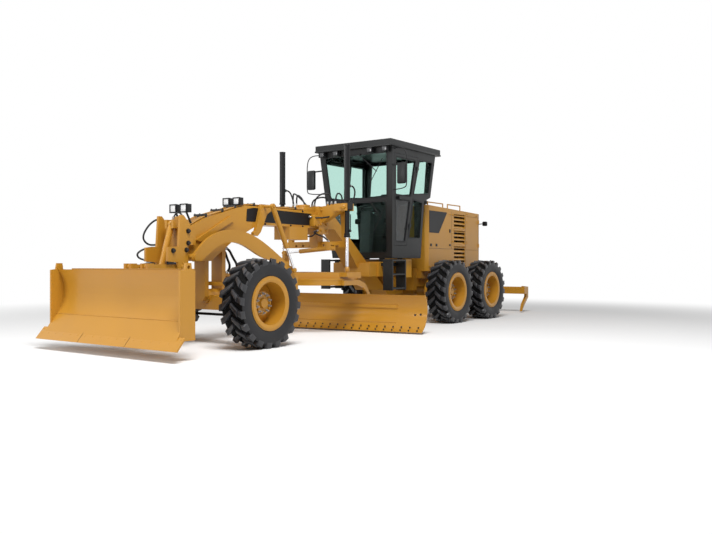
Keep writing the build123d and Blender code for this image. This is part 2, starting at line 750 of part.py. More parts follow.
cylinder_pair(
    "shift", (shift_x, shift_high_y, shift_high_z), (shift_x, -shift_low_y, shift_low_z),
    42, 37, 18, 0.67, 0.39, shift_pin_r, shift_pin_r, (1, 0, 0),
)

# Side arm on the left, hung by its own cylinder from a bracket on the beam
with BuildPart() as side_arm:
    with BuildSketch(Plane.XZ.offset(-arm_high_y)):
        with BuildLine():
            Spline(
                (arm_x + 463, 1337), (arm_x + 129, 1567), (arm_x - 222, 1628), (arm_x - 593, 1565),
                (arm_x - 986, 1387), (arm_x - 1401, 1142),
            )
            Polyline(
                (arm_x - 1401, 1142), (arm_x - 1450, 1110), (arm_x - 1530, 1090), (arm_x - 1530, 990),
                (arm_x - 1640, 940), (arm_x - 1640, 680), (arm_x - 1400, 680), (arm_x - 1370, 1000),
                (arm_x - 1360, 1050),
            )
            Spline(
                (arm_x - 1360, 1050), (arm_x - 1190, 1142), (arm_x - 787, 1249), (arm_x - 405, 1409),
                (arm_x - 44, 1434), (arm_x + 298, 1253), (arm_x + 397, 1178),
            )
            Polyline(
                (arm_x + 397, 1178), (arm_x + 530, 1170), (arm_x + 585, 1238), (arm_x + 463, 1337),
            )
        make_face()
    extrude(amount=arm_high_y - arm_low_y)
    bar(
        (arm_hinge_x, arm_low_y - 10, arm_hinge_z), (arm_hinge_x, arm_high_y + 20, arm_hinge_z), arm_hinge_r + 18,
    )
    bar(
        (arm_hinge_x, arm_low_y - 80, arm_hinge_z), (arm_hinge_x, arm_high_y + 40, arm_hinge_z),
        arm_hinge_r + fit_gap, mode=Mode.SUBTRACT,
    )
    bar((arm_x - 1545, arm_low_y - 5, 830), (arm_x - 1545, arm_high_y + 5, 830), 28, mode=Mode.SUBTRACT)
    bar((arm_eye_x, arm_high_y - 5, arm_eye_z), (arm_eye_x, arm_line_y + 30, arm_eye_z), arm_pin_r)
    bar((arm_eye_x, arm_line_y - 22, arm_eye_z), (arm_eye_x, arm_line_y + 22, arm_eye_z), arm_pin_r + 20)
side_arm.part.label = "side_arm"
export_step(side_arm.part, "parts/side_arm.step")

cylinder_pair(
    "arm", (hanger_x, arm_line_y, hanger_z), (arm_eye_x, arm_line_y, arm_eye_z),
    22, 40, 20, 0.64, 0.4, arm_pin_r, arm_pin_r, (0, 1, 0),
)

# Dozer tower on the nose, its parallel arms, its blade and the cylinder between them
dozer_pivot_x = axle_x + 720
dozer_pin_x = axle_x + 1250
dozer_low_z = 700
dozer_high_z = 1100
dozer_pin_r = 25
dozer_link_pin_r = 20
tower_low_y = 200
tower_high_y = 240
link_low_y = 140
link_high_y = 190
dozer_hang_x = axle_x + 710
dozer_hang_z = 1680
dozer_eye_x = axle_x + 980
dozer_eye_z = 800
dozer_lift_pin_r = 22

with BuildPart() as dozer_tower:
    for side in (1, -1):
        side_profile(
            [
                (nose_x + 85, 1390), (nose_x + 5, 1400), (nose_x + 5, 1440), (nose_x + 60, 1683),
                (axle_x + 706, 1794),
                (axle_x + 760, 1794), (axle_x + 790, 1372), (axle_x + 976, 1360), (axle_x + 976, 1172),
                (axle_x + 800, 1160), (axle_x + 790, dozer_low_z - 70), (axle_x + 650, dozer_low_z - 70),
                (axle_x + 625, 1100),
            ],
            min(side * tower_low_y, side * tower_high_y), max(side * tower_low_y, side * tower_high_y),
        )
        side_profile(
            [
                (nose_x - 80, 1400), (nose_x - 80, 1600), (nose_x + 30, 1600), (nose_x + 30, 1400),
            ],
            min(side * frame_half, side * (tower_low_y + 5)), max(side * frame_half, side * (tower_low_y + 5)),
        )
        block(
            dozer_hang_x - 90, dozer_hang_x + 45, min(side * 45, side * 85), max(side * 45, side * 85),
            dozer_hang_z - 60, dozer_hang_z + 60,
        )
    block(nose_x, nose_x + 90, -frame_half, frame_half, 1190, 1640)
    block(nose_x + 85, nose_x + 120, -tower_low_y - 5, tower_low_y + 5, 1190, 1640)
    block(nose_x + 40, nose_x + 80, -95, 95, 1385, 1790)
    bar((dozer_pivot_x, -tower_low_y, dozer_low_z), (dozer_pivot_x, tower_low_y, dozer_low_z), dozer_pin_r)
    bar(
        (dozer_pivot_x, -tower_low_y, dozer_high_z), (dozer_pivot_x, tower_low_y, dozer_high_z), dozer_link_pin_r,
    )
    bar((dozer_hang_x, -50, dozer_hang_z), (dozer_hang_x, 50, dozer_hang_z), dozer_lift_pin_r)
dozer_tower.part.label = "dozer_tower"
export_step(dozer_tower.part, "parts/dozer_tower.step")

with BuildPart() as dozer_arms:
    for side in (1, -1):
        low = min(side * link_low_y, side * link_high_y)
        high = max(side * link_low_y, side * link_high_y)
        block(dozer_pivot_x, dozer_pin_x, low, high, dozer_low_z - 50, dozer_low_z + 50)
        for end_x in (dozer_pivot_x, dozer_pin_x):
            bar((end_x, low, dozer_low_z), (end_x, high, dozer_low_z), 50)
        block(dozer_eye_x - 40, dozer_eye_x + 40, min(side * 30, side * 60), max(side * 30, side * 60),
              dozer_low_z - 30, dozer_eye_z + 40)
    block(dozer_eye_x - 60, dozer_eye_x + 60, -link_low_y, link_low_y, dozer_low_z - 40, dozer_low_z + 20)
    bar((dozer_eye_x, -35, dozer_eye_z), (dozer_eye_x, 35, dozer_eye_z), dozer_lift_pin_r)
    bar((dozer_eye_x, -26, dozer_eye_z), (dozer_eye_x, 26, dozer_eye_z), dozer_lift_pin_r + 20)
    for end_x in (dozer_pivot_x, dozer_pin_x):
        bar((end_x, -200, dozer_low_z), (end_x, 200, dozer_low_z), dozer_pin_r + fit_gap, mode=Mode.SUBTRACT)
dozer_arms.part.label = "dozer_arms"
export_step(dozer_arms.part, "parts/dozer_arms.step")

with BuildPart() as dozer_top_link:
    for side in (1, -1):
        low = min(side * link_low_y, side * link_high_y)
        high = max(side * link_low_y, side * link_high_y)
        block(dozer_pivot_x, dozer_pin_x, low, high, dozer_high_z - 32, dozer_high_z + 32)
        for end_x in (dozer_pivot_x, dozer_pin_x):
            bar((end_x, low, dozer_high_z), (end_x, high, dozer_high_z), 40)
    bar((axle_x + 1120, -link_low_y, dozer_high_z), (axle_x + 1120, link_low_y, dozer_high_z), 20)
    for end_x in (dozer_pivot_x, dozer_pin_x):
        bar((end_x, -200, dozer_high_z), (end_x, 200, dozer_high_z), dozer_link_pin_r + fit_gap, mode=Mode.SUBTRACT)
dozer_top_link.part.label = "dozer_top_link"
export_step(dozer_top_link.part, "parts/dozer_top_link.step")

dozer_half = 1300
with BuildPart() as dozer_blade:
    with BuildSketch(Plane.XZ.offset(-dozer_half)):
        with BuildLine():
            ThreePointArc((axle_x + 1595, 1066), (axle_x + 1500, 750), (axle_x + 1620, 470))
            Polyline(
                (axle_x + 1620, 470), (axle_x + 1790, 200), (axle_x + 1760, 190), (axle_x + 1590, 470),
            )
            ThreePointArc((axle_x + 1590, 470), (axle_x + 1475, 750), (axle_x + 1567, 1066))
            Line((axle_x + 1567, 1066), (axle_x + 1595, 1066))
        make_face()
    extrude(amount=2 * dozer_half)
    side_profile(
        [
            (axle_x + 1720, 292), (axle_x + front_reach, 140),
            (axle_x + front_reach - 22, 134), (axle_x + 1704, 278),
        ],
        -dozer_half - 100, dozer_half + 100,
    )
    block(axle_x + 1300, axle_x + 1500, -dozer_half + 200, dozer_half - 200, 620, 1080)
    block(axle_x + 1325, axle_x + 1465, -dozer_half + 225, dozer_half - 225, 645, 1055, mode=Mode.SUBTRACT)
    for side in (1, -1):
        side_profile(
            [
                (axle_x + 1470, 240), (axle_x + 1470, 1060), (axle_x + 1520, 1070), (axle_x + 1530, 1150),
                (axle_x + 1610, 1150), (axle_x + 1625, 1070), (axle_x + 1700, 1060), (axle_x + 1700, 300),
                (axle_x + 1740, 240),
            ],
            min(side * (dozer_half - 30), side * dozer_half), max(side * (dozer_half - 30), side * dozer_half),
        )
        bar(
            (axle_x + 1570, side * (dozer_half - 60), 1100), (axle_x + 1570, side * (dozer_half + 30), 1100), 22,
            mode=Mode.SUBTRACT,
        )
        for pin_z, pin_r in ((dozer_low_z, dozer_pin_r), (dozer_high_z, dozer_link_pin_r)):
            block(
                dozer_pin_x - 45, axle_x + 1310, min(side * 200, side * 240), max(side * 200, side * 240),
                pin_z - 45, pin_z + 45,
            )
            block(
                dozer_pin_x - 45, axle_x + 1310, min(side * 95, side * 130), max(side * 95, side * 130),
                pin_z - 45, min(pin_z + 45, dozer_high_z + 45),
            )
            bar((dozer_pin_x, side * 95, pin_z), (dozer_pin_x, side * 240, pin_z), pin_r)
dozer_blade.part.label = "dozer_blade"
export_step(dozer_blade.part, "parts/dozer_blade.step")

cylinder_pair(
    "dozer", (dozer_hang_x, 0, dozer_hang_z), (dozer_eye_x, 0, dozer_eye_z),
    28, 42, 22, 0.68, 0.44, dozer_lift_pin_r, dozer_lift_pin_r, (0, 1, 0),
)

# Rear chassis with the hitch lugs, the rear axle and the ripper's hangers
rail_low = 700
rail_high = 1000
rail_in = 250
rail_out = 330
chassis_rear = axle_x - 8070
axle_r = 140
axle_z = tyre_r
case_low_y = 560
case_high_y = 720
case_r = 235
ripper_x = axle_x - 8200
ripper_z = 640
ripper_pin_r = 30

with BuildPart() as rear_chassis:
    for side in (1, -1):
        block(
            chassis_rear, hitch_x - 190, min(side * rail_in, side * rail_out), max(side * rail_in, side * rail_out),
            rail_low, rail_high,
        )
        for hanger_y in (300, 420):
            side_profile(
                [
                    (chassis_rear + 10, 900), (ripper_x - 50, 700), (ripper_x - 50, ripper_z - 50),
                    (chassis_rear + 10, ripper_z - 60),
                ],
                min(side * hanger_y, side * (hanger_y + 25)), max(side * hanger_y, side * (hanger_y + 25)),
            )
        bar((ripper_x, side * 300, ripper_z), (ripper_x, side * 445, ripper_z), ripper_pin_r)
    block(hitch_x - 320, hitch_x - 190, -rail_out, rail_out, 623, 1057)
    for lug_low in (hitch_low + hitch_plate + 3, hitch_high - hitch_plate - 63):
        block(hitch_x - 200, hitch_x, -150, 150, lug_low, lug_low + 60)
        bar((hitch_x, 0, lug_low), (hitch_x, 0, lug_low + 60), 150)
    bar((hitch_x, 0, hitch_low), (hitch_x, 0, hitch_high), hitch_pin_r + fit_gap, mode=Mode.SUBTRACT)
    block(chassis_rear, chassis_rear + 60, -500, 500, 560, 1060)
    for cross_x in (-5900, -7300):
        block(axle_x + cross_x - 60, axle_x + cross_x + 60, -rail_in, rail_in, rail_low + 60, rail_high - 40)
    block(hitch_x - 620, hitch_x - 320, -420, 420, 860, rail_high)
    bar((tandem_x, -case_low_y - 100, axle_z), (tandem_x, case_low_y + 100, axle_z), axle_r - 20)
    bar((tandem_x, -case_low_y + 5, axle_z), (tandem_x, case_low_y - 5, axle_z), axle_r)
    bar((tandem_x, -90, axle_z), (tandem_x, 90, axle_z), 220)
    for side in (1, -1):
        cone((tandem_x, side * 90, axle_z), (tandem_x, side * 220, axle_z), 220, axle_r)
    block(tandem_x - 150, tandem_x + 150, -rail_out, -rail_in, axle_z, rail_low)
    block(tandem_x - 150, tandem_x + 150, rail_in, rail_out, axle_z, rail_low)
rear_chassis.part.label = "rear_chassis"
export_step(rear_chassis.part, "parts/rear_chassis.step")

for side_name, side in (("left", 1), ("right", -1)):
    low = min(side * case_low_y, side * case_high_y)
    high = max(side * case_low_y, side * case_high_y)
    with BuildPart() as tandem_case:
        with BuildSketch(Plane.XZ.offset(-high)):
            with Locations((tandem_x, axle_z)):
                SlotCenterToCenter(tandem_gap, 2 * case_r)
                Circle(case_r + 25)
        extrude(amount=high - low)
        for wheel_x in (first_tandem_x, rear_tandem_x):
            bar((wheel_x, side * case_high_y - side * 5, axle_z),
                (wheel_x, side * (track_y - hub_back - fit_gap), axle_z), 120)
        bar(
            (tandem_x, side * (case_low_y - 5), axle_z), (tandem_x, side * (case_low_y + 100 + fit_gap), axle_z),
            axle_r - 20 + fit_gap, mode=Mode.SUBTRACT,
        )
    tandem_case.part.label = f"tandem_case_{side_name}"
    export_step(tandem_case.part, f"parts/tandem_case_{side_name}.step")

with BuildPart() as ripper:
    for side in (1, -1):
        side_profile(
            [
                (ripper_x + 45, ripper_z + 45), (ripper_x - 40, ripper_z + 55), (axle_x - 9130, 600),
                (axle_x - 9130, 440), (ripper_x - 30, ripper_z - 50), (ripper_x + 45, ripper_z - 45),
            ],
            min(side * 330, side * 415), max(side * 330, side * 415),
        )
        bar((ripper_x, side * 320, ripper_z), (ripper_x, side * 425, ripper_z), ripper_pin_r + fit_gap,
            mode=Mode.SUBTRACT)
        side_profile(
            [
                (axle_x - 9130, 620), (axle_x - rear_reach, 600), (axle_x - rear_reach, 350),
                (axle_x - 9180, 180), (axle_x - 9030, 30), (axle_x - 9090, 190), (axle_x - 9290, 370),
                (axle_x - 9290, 440), (axle_x - 9130, 440),
            ],
            min(side * 865, side * 925), max(side * 865, side * 925),
        )
    block(axle_x - 9270, axle_x - 9110, -950, 950, 435, 600)
ripper.part.label = "ripper"
export_step(ripper.part, "parts/ripper.step")

# Hood, hollow, with its doors at the rear of each side and the engine inside
hood_half = 550
hood_front = axle_x - 5256
hood_side_rear = axle_x - 7519
hood_rear = axle_x - 7860
hood_low = rail_high
hood_front_top = 2307
hood_rear_top = 2230
hood_wall = 12
louvre_front = axle_x - 6361
louvre_rear = axle_x - 6852
louvre_low = 1180
louvre_high = 2180
door_low = 1440
door_high = 2160
hood_door_front = axle_x - 6900
hood_door_rear = axle_x - 7480
hood_hinge_r = 10


def hood_shape(inset):
    """The hood's outline in plan, cut by its sloping roof."""
    plan_profile(
        [
            (hood_front - inset, -hood_half + inset + 60), (hood_front - inset, hood_half - inset - 60),
            (hood_front - inset - 60, hood_half - inset), (hood_side_rear, hood_half - inset),
            (hood_rear + inset, 330), (hood_rear + inset, -330),
            (hood_side_rear, -hood_half + inset), (hood_front - inset - 60, -hood_half + inset),
        ],
        hood_low - 1 if inset else hood_low, hood_front_top + 20,
    )
    side_profile(
        [
            (hood_front + 10, hood_front_top - inset), (hood_rear - 10, hood_rear_top - inset),
            (hood_rear - 10, hood_front_top + 60), (hood_front + 10, hood_front_top + 60),
        ],
        -hood_half - 5, hood_half + 5, mode=Mode.SUBTRACT,
    )


with BuildPart() as hood_solid:
    hood_shape(0)
with BuildPart() as hood_core:
    hood_shape(hood_wall)
with BuildPart() as hood:
    add(hood_solid.part)
    add(hood_core.part, mode=Mode.SUBTRACT)
    for side in (1, -1):
        near = min(side * (hood_half - 30), side * (hood_half + 30))
        block(hood_door_rear, hood_door_front, near, near + 60, door_low, door_high, mode=Mode.SUBTRACT)
        block(louvre_rear, louvre_front, near, near + 60, louvre_low, louvre_high, mode=Mode.SUBTRACT)
        slat_high = (louvre_high - louvre_low) / 12
        for slat in range(12):
            slat_z = louvre_low + slat * slat_high
            front_profile(
                [
                    (side * (hood_half - 30), slat_z + slat_high), (side * (hood_half - 30), slat_z + slat_high - 12),
                    (side * (hood_half - 6), slat_z + slat_high - 45), (side * (hood_half - 6), slat_z + slat_high - 33),
                ],
                louvre_rear - 5, louvre_front + 5,
            )
        rib_near = min(side * (hood_half - 12), side * (hood_half + 6))
        for bar_z in (louvre_low + 330, louvre_low + 660):
            block(louvre_rear - 5, louvre_front + 5, rib_near, rib_near + 18, bar_z, bar_z + 40)
        for rail_front, rail_rear in ((hood_front - 80, axle_x - 5950), (axle_x - 6150, axle_x - 6700)):
            rail_z = hood_front_top + 60
            for post_x in (rail_front, rail_rear):
                bar((post_x, side * (hood_half - 40), 2200), (post_x, side * (hood_half - 40), rail_z), 12)
            bar((rail_front, side * (hood_half - 40), rail_z), (rail_rear, side * (hood_half - 40), rail_z), 12)
hood.part.label = "hood"
export_step(hood.part, "parts/hood.step")

with BuildPart() as engine_block:
    block(axle_x - 6950, axle_x - 5600, -320, 320, rail_high, 1950)
engine_block.part.label = "engine_block"
export_step(engine_block.part, "parts/engine_block.step")

for side_name, side in (("left", 1), ("right", -1)):
    low = min(side * (hood_half - hood_wall), side * hood_half)
    with BuildPart() as hood_door:
        block(
            hood_door_rear + 6, hood_door_front - 6, low, low + hood_wall, door_low + 6, door_high - 6,
        )
        for latch_z in (door_low + 120, door_high - 160):
            block(
                hood_door_front - 70, hood_door_front - 40, side * hood_half - 8, side * hood_half + 8,
                latch_z, latch_z + 60,
            )
        for hinge_z in (door_low + 60, door_high - 140):
            block(
                hood_door_rear - 10, hood_door_rear + 40, min(side * hood_half, side * (hood_half + 8)),
                max(side * hood_half, side * (hood_half + 8)), hinge_z, hinge_z + 80,
            )
            bar(
                (hood_door_rear - 10, side * (hood_half + 12), hinge_z),
                (hood_door_rear - 10, side * (hood_half + 12), hinge_z + 80), hood_hinge_r,
            )
    hood_door.part.label = f"hood_door_{side_name}"
    export_step(hood_door.part, f"parts/hood_door_{side_name}.step")

# Cab: an outline from the side cut by one from the front, hollow, with openings for glass and doors
cab_low = 1250
cab_high = 3230
cab_low_half = 673
cab_high_half = 817
cab_wall = 50
door_gap = 6
hinge_low = (axle_x - 4249, 1500)
hinge_high = (axle_x - 4469, 3110)
hinge_out = 14              # the hinge line, outward of the door's face
hinge_r = 12
hinge_leaf = 60
hinge_shares = (0.16, 0.82)
hinge_line = hypot(hinge_high[0] - hinge_low[0], hinge_high[1] - hinge_low[1])
door_line = [
    (axle_x - 3826, 1480), (axle_x - 3648, 3110), (axle_x - 4466, 3110), (axle_x - 4246, 1480),
]
door_upper_glass = [
    (axle_x - 3780, 2385), (axle_x - 3710, 3050), (axle_x - 4400, 3050), (axle_x - 4308, 2385),
]
door_lower_glass = [
    (axle_x - 3872, 1545), (axle_x - 3790, 2300), (axle_x - 4290, 2300), (axle_x - 4195, 1545),
]
side_glass = [
    (axle_x - 4385, 2430), (axle_x - 4530, 3080), (axle_x - 5000, 3080), (axle_x - 4930, 2470),
]
side_low_glass = [
    (axle_x - 4310, 1620), (axle_x - 4390, 2340), (axle_x - 4720, 2300), (axle_x - 4720, 1620),
]


def cab_shape(inset):
    """The cab's outline from the side, leaning out at the sides as it rises."""
    side_profile(
        [
            (axle_x - 3790 - inset, cab_low + inset), (axle_x - 3574 - inset, cab_high - inset),
            (axle_x - 5105 + inset, cab_high - inset), (axle_x - 5012 + inset, 2410 + inset),
            (axle_x - 4790 + inset, 2330 + inset), (axle_x - 4790 + inset, cab_low + inset),
        ],
        -900, 900,
    )
    front_profile(
        [
            (-cab_low_half + inset, cab_low), (-cab_high_half + inset, cab_high), (-1000, cab_high),
            (-1000, cab_low),
        ],
        axle_x - 5300, axle_x - 3400, mode=Mode.SUBTRACT,
    )
    front_profile(
        [
            (cab_low_half - inset, cab_low), (cab_high_half - inset, cab_high), (1000, cab_high),
            (1000, cab_low),
        ],
        axle_x - 5300, axle_x - 3400, mode=Mode.SUBTRACT,
    )


def hinge_point(side, share, out=hinge_out):
    """A point on a door's hinge line, by its share of the way up."""
    z = hinge_low[1] + share * (hinge_high[1] - hinge_low[1])
    skin = cab_low_half + (z - cab_low) * (cab_high_half - cab_low_half) / (cab_high - cab_low)
    return hinge_low[0] + share * (hinge_high[0] - hinge_low[0]), side * (skin + out), z


def hinge_half(side, share, reach):
    """One knuckle of a hinge with its leaf, which reaches forward or back along X."""
    bar(hinge_point(side, share), hinge_point(side, share + hinge_leaf / hinge_line), hinge_r)
    x, y, z = hinge_point(side, share, out=0)
    near_x = x if reach > 0 else x - 10
    block(
        min(near_x, x + reach), max(near_x, x + reach), min(y - side * 6, y + side * 12), max(y - side * 6, y + side * 12),
        z + 4, z + hinge_leaf - 4,
    )


def grown(points, growth):
    """Move an outline's corners away from its middle by a fixed amount on each axis."""
    middle = [sum(values) / len(points) for values in zip(*points)]
    return [tuple(v + (growth if v > m else -growth) for v, m in zip(point, middle)) for point in points]


with BuildPart() as cab_outer:
    cab_shape(0)
with BuildPart() as cab_inner:
    cab_shape(cab_wall)
with BuildPart() as glass_outer:
    cab_shape(18)
with BuildPart() as glass_inner:
    cab_shape(26)

with BuildPart() as cab_openings:
    side_profile(side_glass, -900, 900)
    side_profile(side_low_glass, -900, 900)
    front_profile(
        [(-640, 2330), (-700, 3130), (700, 3130), (640, 2330)], axle_x - 3950, axle_x - 3500,
    )
    front_profile(
        [(-570, 1340), (-620, 2270), (620, 2270), (570, 1340)], axle_x - 3950, axle_x - 3500,
    )
    block(axle_x - 5200, axle_x - 4950, -640, 640, 2500, 3120)
    block(axle_x - 4850, axle_x - 4700, -560, 560, 1650, 2270)

with BuildPart() as cab_shell:
    add(cab_outer.part)
    add(cab_inner.part, mode=Mode.SUBTRACT)
    add(cab_openings.part, mode=Mode.SUBTRACT)
    side_profile(grown(door_line, door_gap), -900, 900, mode=Mode.SUBTRACT)
    block(axle_x - 5250, axle_x - 3480, -840, 840, cab_high - 5, cab_high + 115)
    for mount_x, mount_z in ((axle_x - 3900, platform_high), (axle_x - 4520, side_box_high)):
        for mount_y in (-380, 380):
            bar((mount_x, mount_y, mount_z), (mount_x, mount_y, cab_low + 10), 55)
    block(axle_x - 4780, axle_x - 3830, -560, 560, cab_low + 30, cab_low + 90)
    for side in (1, -1):
        for share in hinge_shares:
            hinge_half(side, share + (hinge_leaf + fit_gap) / hinge_line, -70)
cab_shell.part.label = "cab_shell"
export_step(cab_shell.part, "parts/cab_shell.step")

with BuildPart() as cab_glass:
    add(glass_outer.part)
    add(glass_inner.part, mode=Mode.SUBTRACT)
    add(cab_openings.part, mode=Mode.INTERSECT)
cab_glass.part.label = "cab_glass"
export_step(cab_glass.part, "parts/cab_glass.step")

for side_name, side in (("left", 1), ("right", -1)):
    with BuildPart() as cab_door:
        add(cab_outer.part)
        add(cab_inner.part, mode=Mode.SUBTRACT)
        side_profile(door_line, min(side * 500, side * 900), max(side * 500, side * 900), mode=Mode.INTERSECT)
        side_profile(door_upper_glass, -900, 900, mode=Mode.SUBTRACT)
        side_profile(door_lower_glass, -900, 900, mode=Mode.SUBTRACT)
        block(axle_x - 3900, axle_x - 3870, side * 760 - 25, side * 760 + 25, 2320, 2350)
        block(axle_x - 4010, axle_x - 3840, side * 785 - 12, side * 785 + 12, 2305, 2365)
        for share in hinge_shares:
            hinge_half(side, share, 70)
    cab_door.part.label = f"cab_door_{side_name}"
    export_step(cab_door.part, f"parts/cab_door_{side_name}.step")

with BuildPart() as driver_station:
    floor_z = cab_low + 90
    block(axle_x - 4620, axle_x - 4220, -180, 180, floor_z, floor_z + 330)
    block(axle_x - 4680, axle_x - 4150, -260, 260, floor_z + 330, floor_z + 450)
    side_profile(
        [
            (axle_x - 4590, floor_z + 440), (axle_x - 4500, floor_z + 440), (axle_x - 4640, floor_z + 1130),
            (axle_x - 4720, floor_z + 1120),
        ],
        -250, 250,
    )
    side_profile(
        [
            (axle_x - 3980, floor_z), (axle_x - 3880, floor_z), (axle_x - 3920, floor_z + 780),
            (axle_x - 4080, floor_z + 720),
        ],
        -110, 110,
    )
    with BuildSketch(Plane(origin=(axle_x - 4060, 0, floor_z + 800), z_dir=(-0.45, 0, 1))):
        Circle(200)
        Circle(178, mode=Mode.SUBTRACT)
        Rectangle(40, 370)
    extrude(amount=20)
    bar((axle_x - 4060, 0, floor_z + 805), (axle_x - 3990, 0, floor_z + 680), 24)
driver_station.part.label = "driver_station"
export_step(driver_station.part, "parts/driver_station.step")

# Steps below each door
step_front = axle_x - 3600
step_rear = axle_x - 4060
with BuildPart() as cab_steps:
    for side in (1, -1):
        near = min(side * 600, side * 800)
        for plate_x in (step_front - 30, step_rear):
            block(plate_x, plate_x + 30, near, near + 200, 670, 1226)
        for tread_z in (690, 940, 1190):
            block(step_rear, step_front, near, near + 200, tread_z, tread_z + 25)
        block(step_rear, axle_x - 3760, min(side * platform_half, side * 610), max(side * platform_half, side * 610), 1100, 1160)
cab_steps.part.label = "cab_steps"
export_step(cab_steps.part, "parts/cab_steps.step")

# Mirrors on the cab's front corners and lamps on the roof and the gooseneck
with BuildPart() as mirrors_and_lamps:
    for side in (1, -1):
        bar((axle_x - 3640, side * 780, 2900), (axle_x - 3560, side * 1010, 2880), 14)
        block(
            axle_x - 3590, axle_x - 3550, side * 1010 - 75, side * 1010 + 75, 2560, 2900,
        )
        for lamp_y in (380, 700):
            block(axle_x - 3560, axle_x - 3485, side * lamp_y - 60, side * lamp_y + 60, 3130, 3225)
        bar((axle_x + 440, side * 110, 1660), (axle_x + 545, side * 105, 1860), 14)
        block(axle_x + 505, axle_x + 590, side * 105 - 65, side * 105 + 65, 1845, 1960)
        bar((axle_x - 460, side * 105, 1940), (axle_x - 460, side * 105, 2030), 14)
        block(axle_x - 505, axle_x - 425, side * 105 - 65, side * 105 + 65, 2012, 2120)
    add(front_frame.part, mode=Mode.SUBTRACT)
    add(cab_shell.part, mode=Mode.SUBTRACT)
mirrors_and_lamps.part.label = "mirrors_and_lamps"
export_step(mirrors_and_lamps.part, "parts/mirrors_and_lamps.step")
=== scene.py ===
"""A motor grader on a pale floor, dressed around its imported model."""
import json
from math import cos, hypot, pi, radians, sin, tan

import bmesh
import bpy
from mathutils import Matrix, Vector


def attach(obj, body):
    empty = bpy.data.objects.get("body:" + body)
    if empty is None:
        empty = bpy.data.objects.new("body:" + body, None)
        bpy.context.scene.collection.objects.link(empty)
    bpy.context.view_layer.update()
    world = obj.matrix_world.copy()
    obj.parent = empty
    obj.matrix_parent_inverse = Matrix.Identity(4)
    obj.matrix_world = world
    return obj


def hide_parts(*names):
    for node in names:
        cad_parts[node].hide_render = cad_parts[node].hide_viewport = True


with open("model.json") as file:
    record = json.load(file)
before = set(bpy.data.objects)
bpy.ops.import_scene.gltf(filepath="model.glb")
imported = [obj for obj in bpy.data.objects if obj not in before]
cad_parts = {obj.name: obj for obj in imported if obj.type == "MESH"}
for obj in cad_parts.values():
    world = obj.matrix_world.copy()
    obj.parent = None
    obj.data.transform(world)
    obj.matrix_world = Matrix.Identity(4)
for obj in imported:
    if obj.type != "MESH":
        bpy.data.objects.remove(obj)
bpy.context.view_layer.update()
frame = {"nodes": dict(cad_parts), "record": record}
nodes = frame["nodes"]

# Camera. It stands ahead of the machine and to its left, about as high as a grown-up's waist,
# and looks level and back along the machine.
front_axle_x = 3.775
camera_data = bpy.data.cameras.new("photo_camera")
camera_data.sensor_fit = "HORIZONTAL"
camera_data.sensor_width = 36
camera_data.lens = 37.93
camera_data.shift_y = -0.0040
camera = bpy.data.objects.new("photo_camera", camera_data)
camera.location = (front_axle_x + 7.563, 7.964, 1.136)
camera.rotation_euler = Vector((-0.8144, -0.5803, 0)).to_track_quat("-Z", "Y").to_euler()
bpy.context.scene.collection.objects.link(camera)
bpy.context.scene.camera = camera

# Studio. A white sweep with a wide soft key from the front left, a weaker fill from the right and
# a pale surround that reflections see as white.
scene = bpy.context.scene
scene.view_settings.view_transform = "Standard"
world = bpy.data.worlds.new("studio")
scene.world = world
world.use_nodes = True
sky = world.node_tree
sky.nodes.clear()
sky_out = sky.nodes.new("ShaderNodeOutputWorld")
sky_mix = sky.nodes.new("ShaderNodeMixShader")
sky_light = sky.nodes.new("ShaderNodeBackground")
sky_light.inputs["Color"].default_value = (1.0, 1.0, 1.0, 1)
sky_light.inputs["Strength"].default_value = 0.26
sky_white = sky.nodes.new("ShaderNodeBackground")
sky_white.inputs["Color"].default_value = (1, 1, 1, 1)
sky_white.inputs["Strength"].default_value = 1.0
sky_rays = sky.nodes.new("ShaderNodeLightPath")
sky_seen = sky.nodes.new("ShaderNodeMath")
sky_seen.operation = "MAXIMUM"
sky.links.new(sky_rays.outputs["Is Camera Ray"], sky_seen.inputs[0])
sky.links.new(sky_rays.outputs["Is Transmission Ray"], sky_seen.inputs[1])
sky_any = sky.nodes.new("ShaderNodeMath")
sky_any.operation = "MAXIMUM"
sky.links.new(sky_seen.outputs[0], sky_any.inputs[0])
sky.links.new(sky_rays.outputs["Is Glossy Ray"], sky_any.inputs[1])
sky.links.new(sky_any.outputs[0], sky_mix.inputs["Fac"])
sky.links.new(sky_light.outputs[0], sky_mix.inputs[1])
sky.links.new(sky_white.outputs[0], sky_mix.inputs[2])
sky.links.new(sky_mix.outputs[0], sky_out.inputs["Surface"])


def area_lamp(name, place, aim, size, watts):
    """A square soft box that faces a point."""
    data = bpy.data.lights.new(name, "AREA")
    data.size = size
    data.energy = watts
    lamp = bpy.data.objects.new(name, data)
    lamp.location = place
    lamp.rotation_euler = (Vector(aim) - Vector(place)).to_track_quat("-Z", "Y").to_euler()
    scene.collection.objects.link(lamp)


area_lamp("key", (7, 6, 12), (0, 0, 1), 6, 1850)
area_lamp("fill", (2, -11, 7), (0, 0, 1), 8, 200)
area_lamp("front", (14, -3, 4), (3, 0, 1), 5, 440)

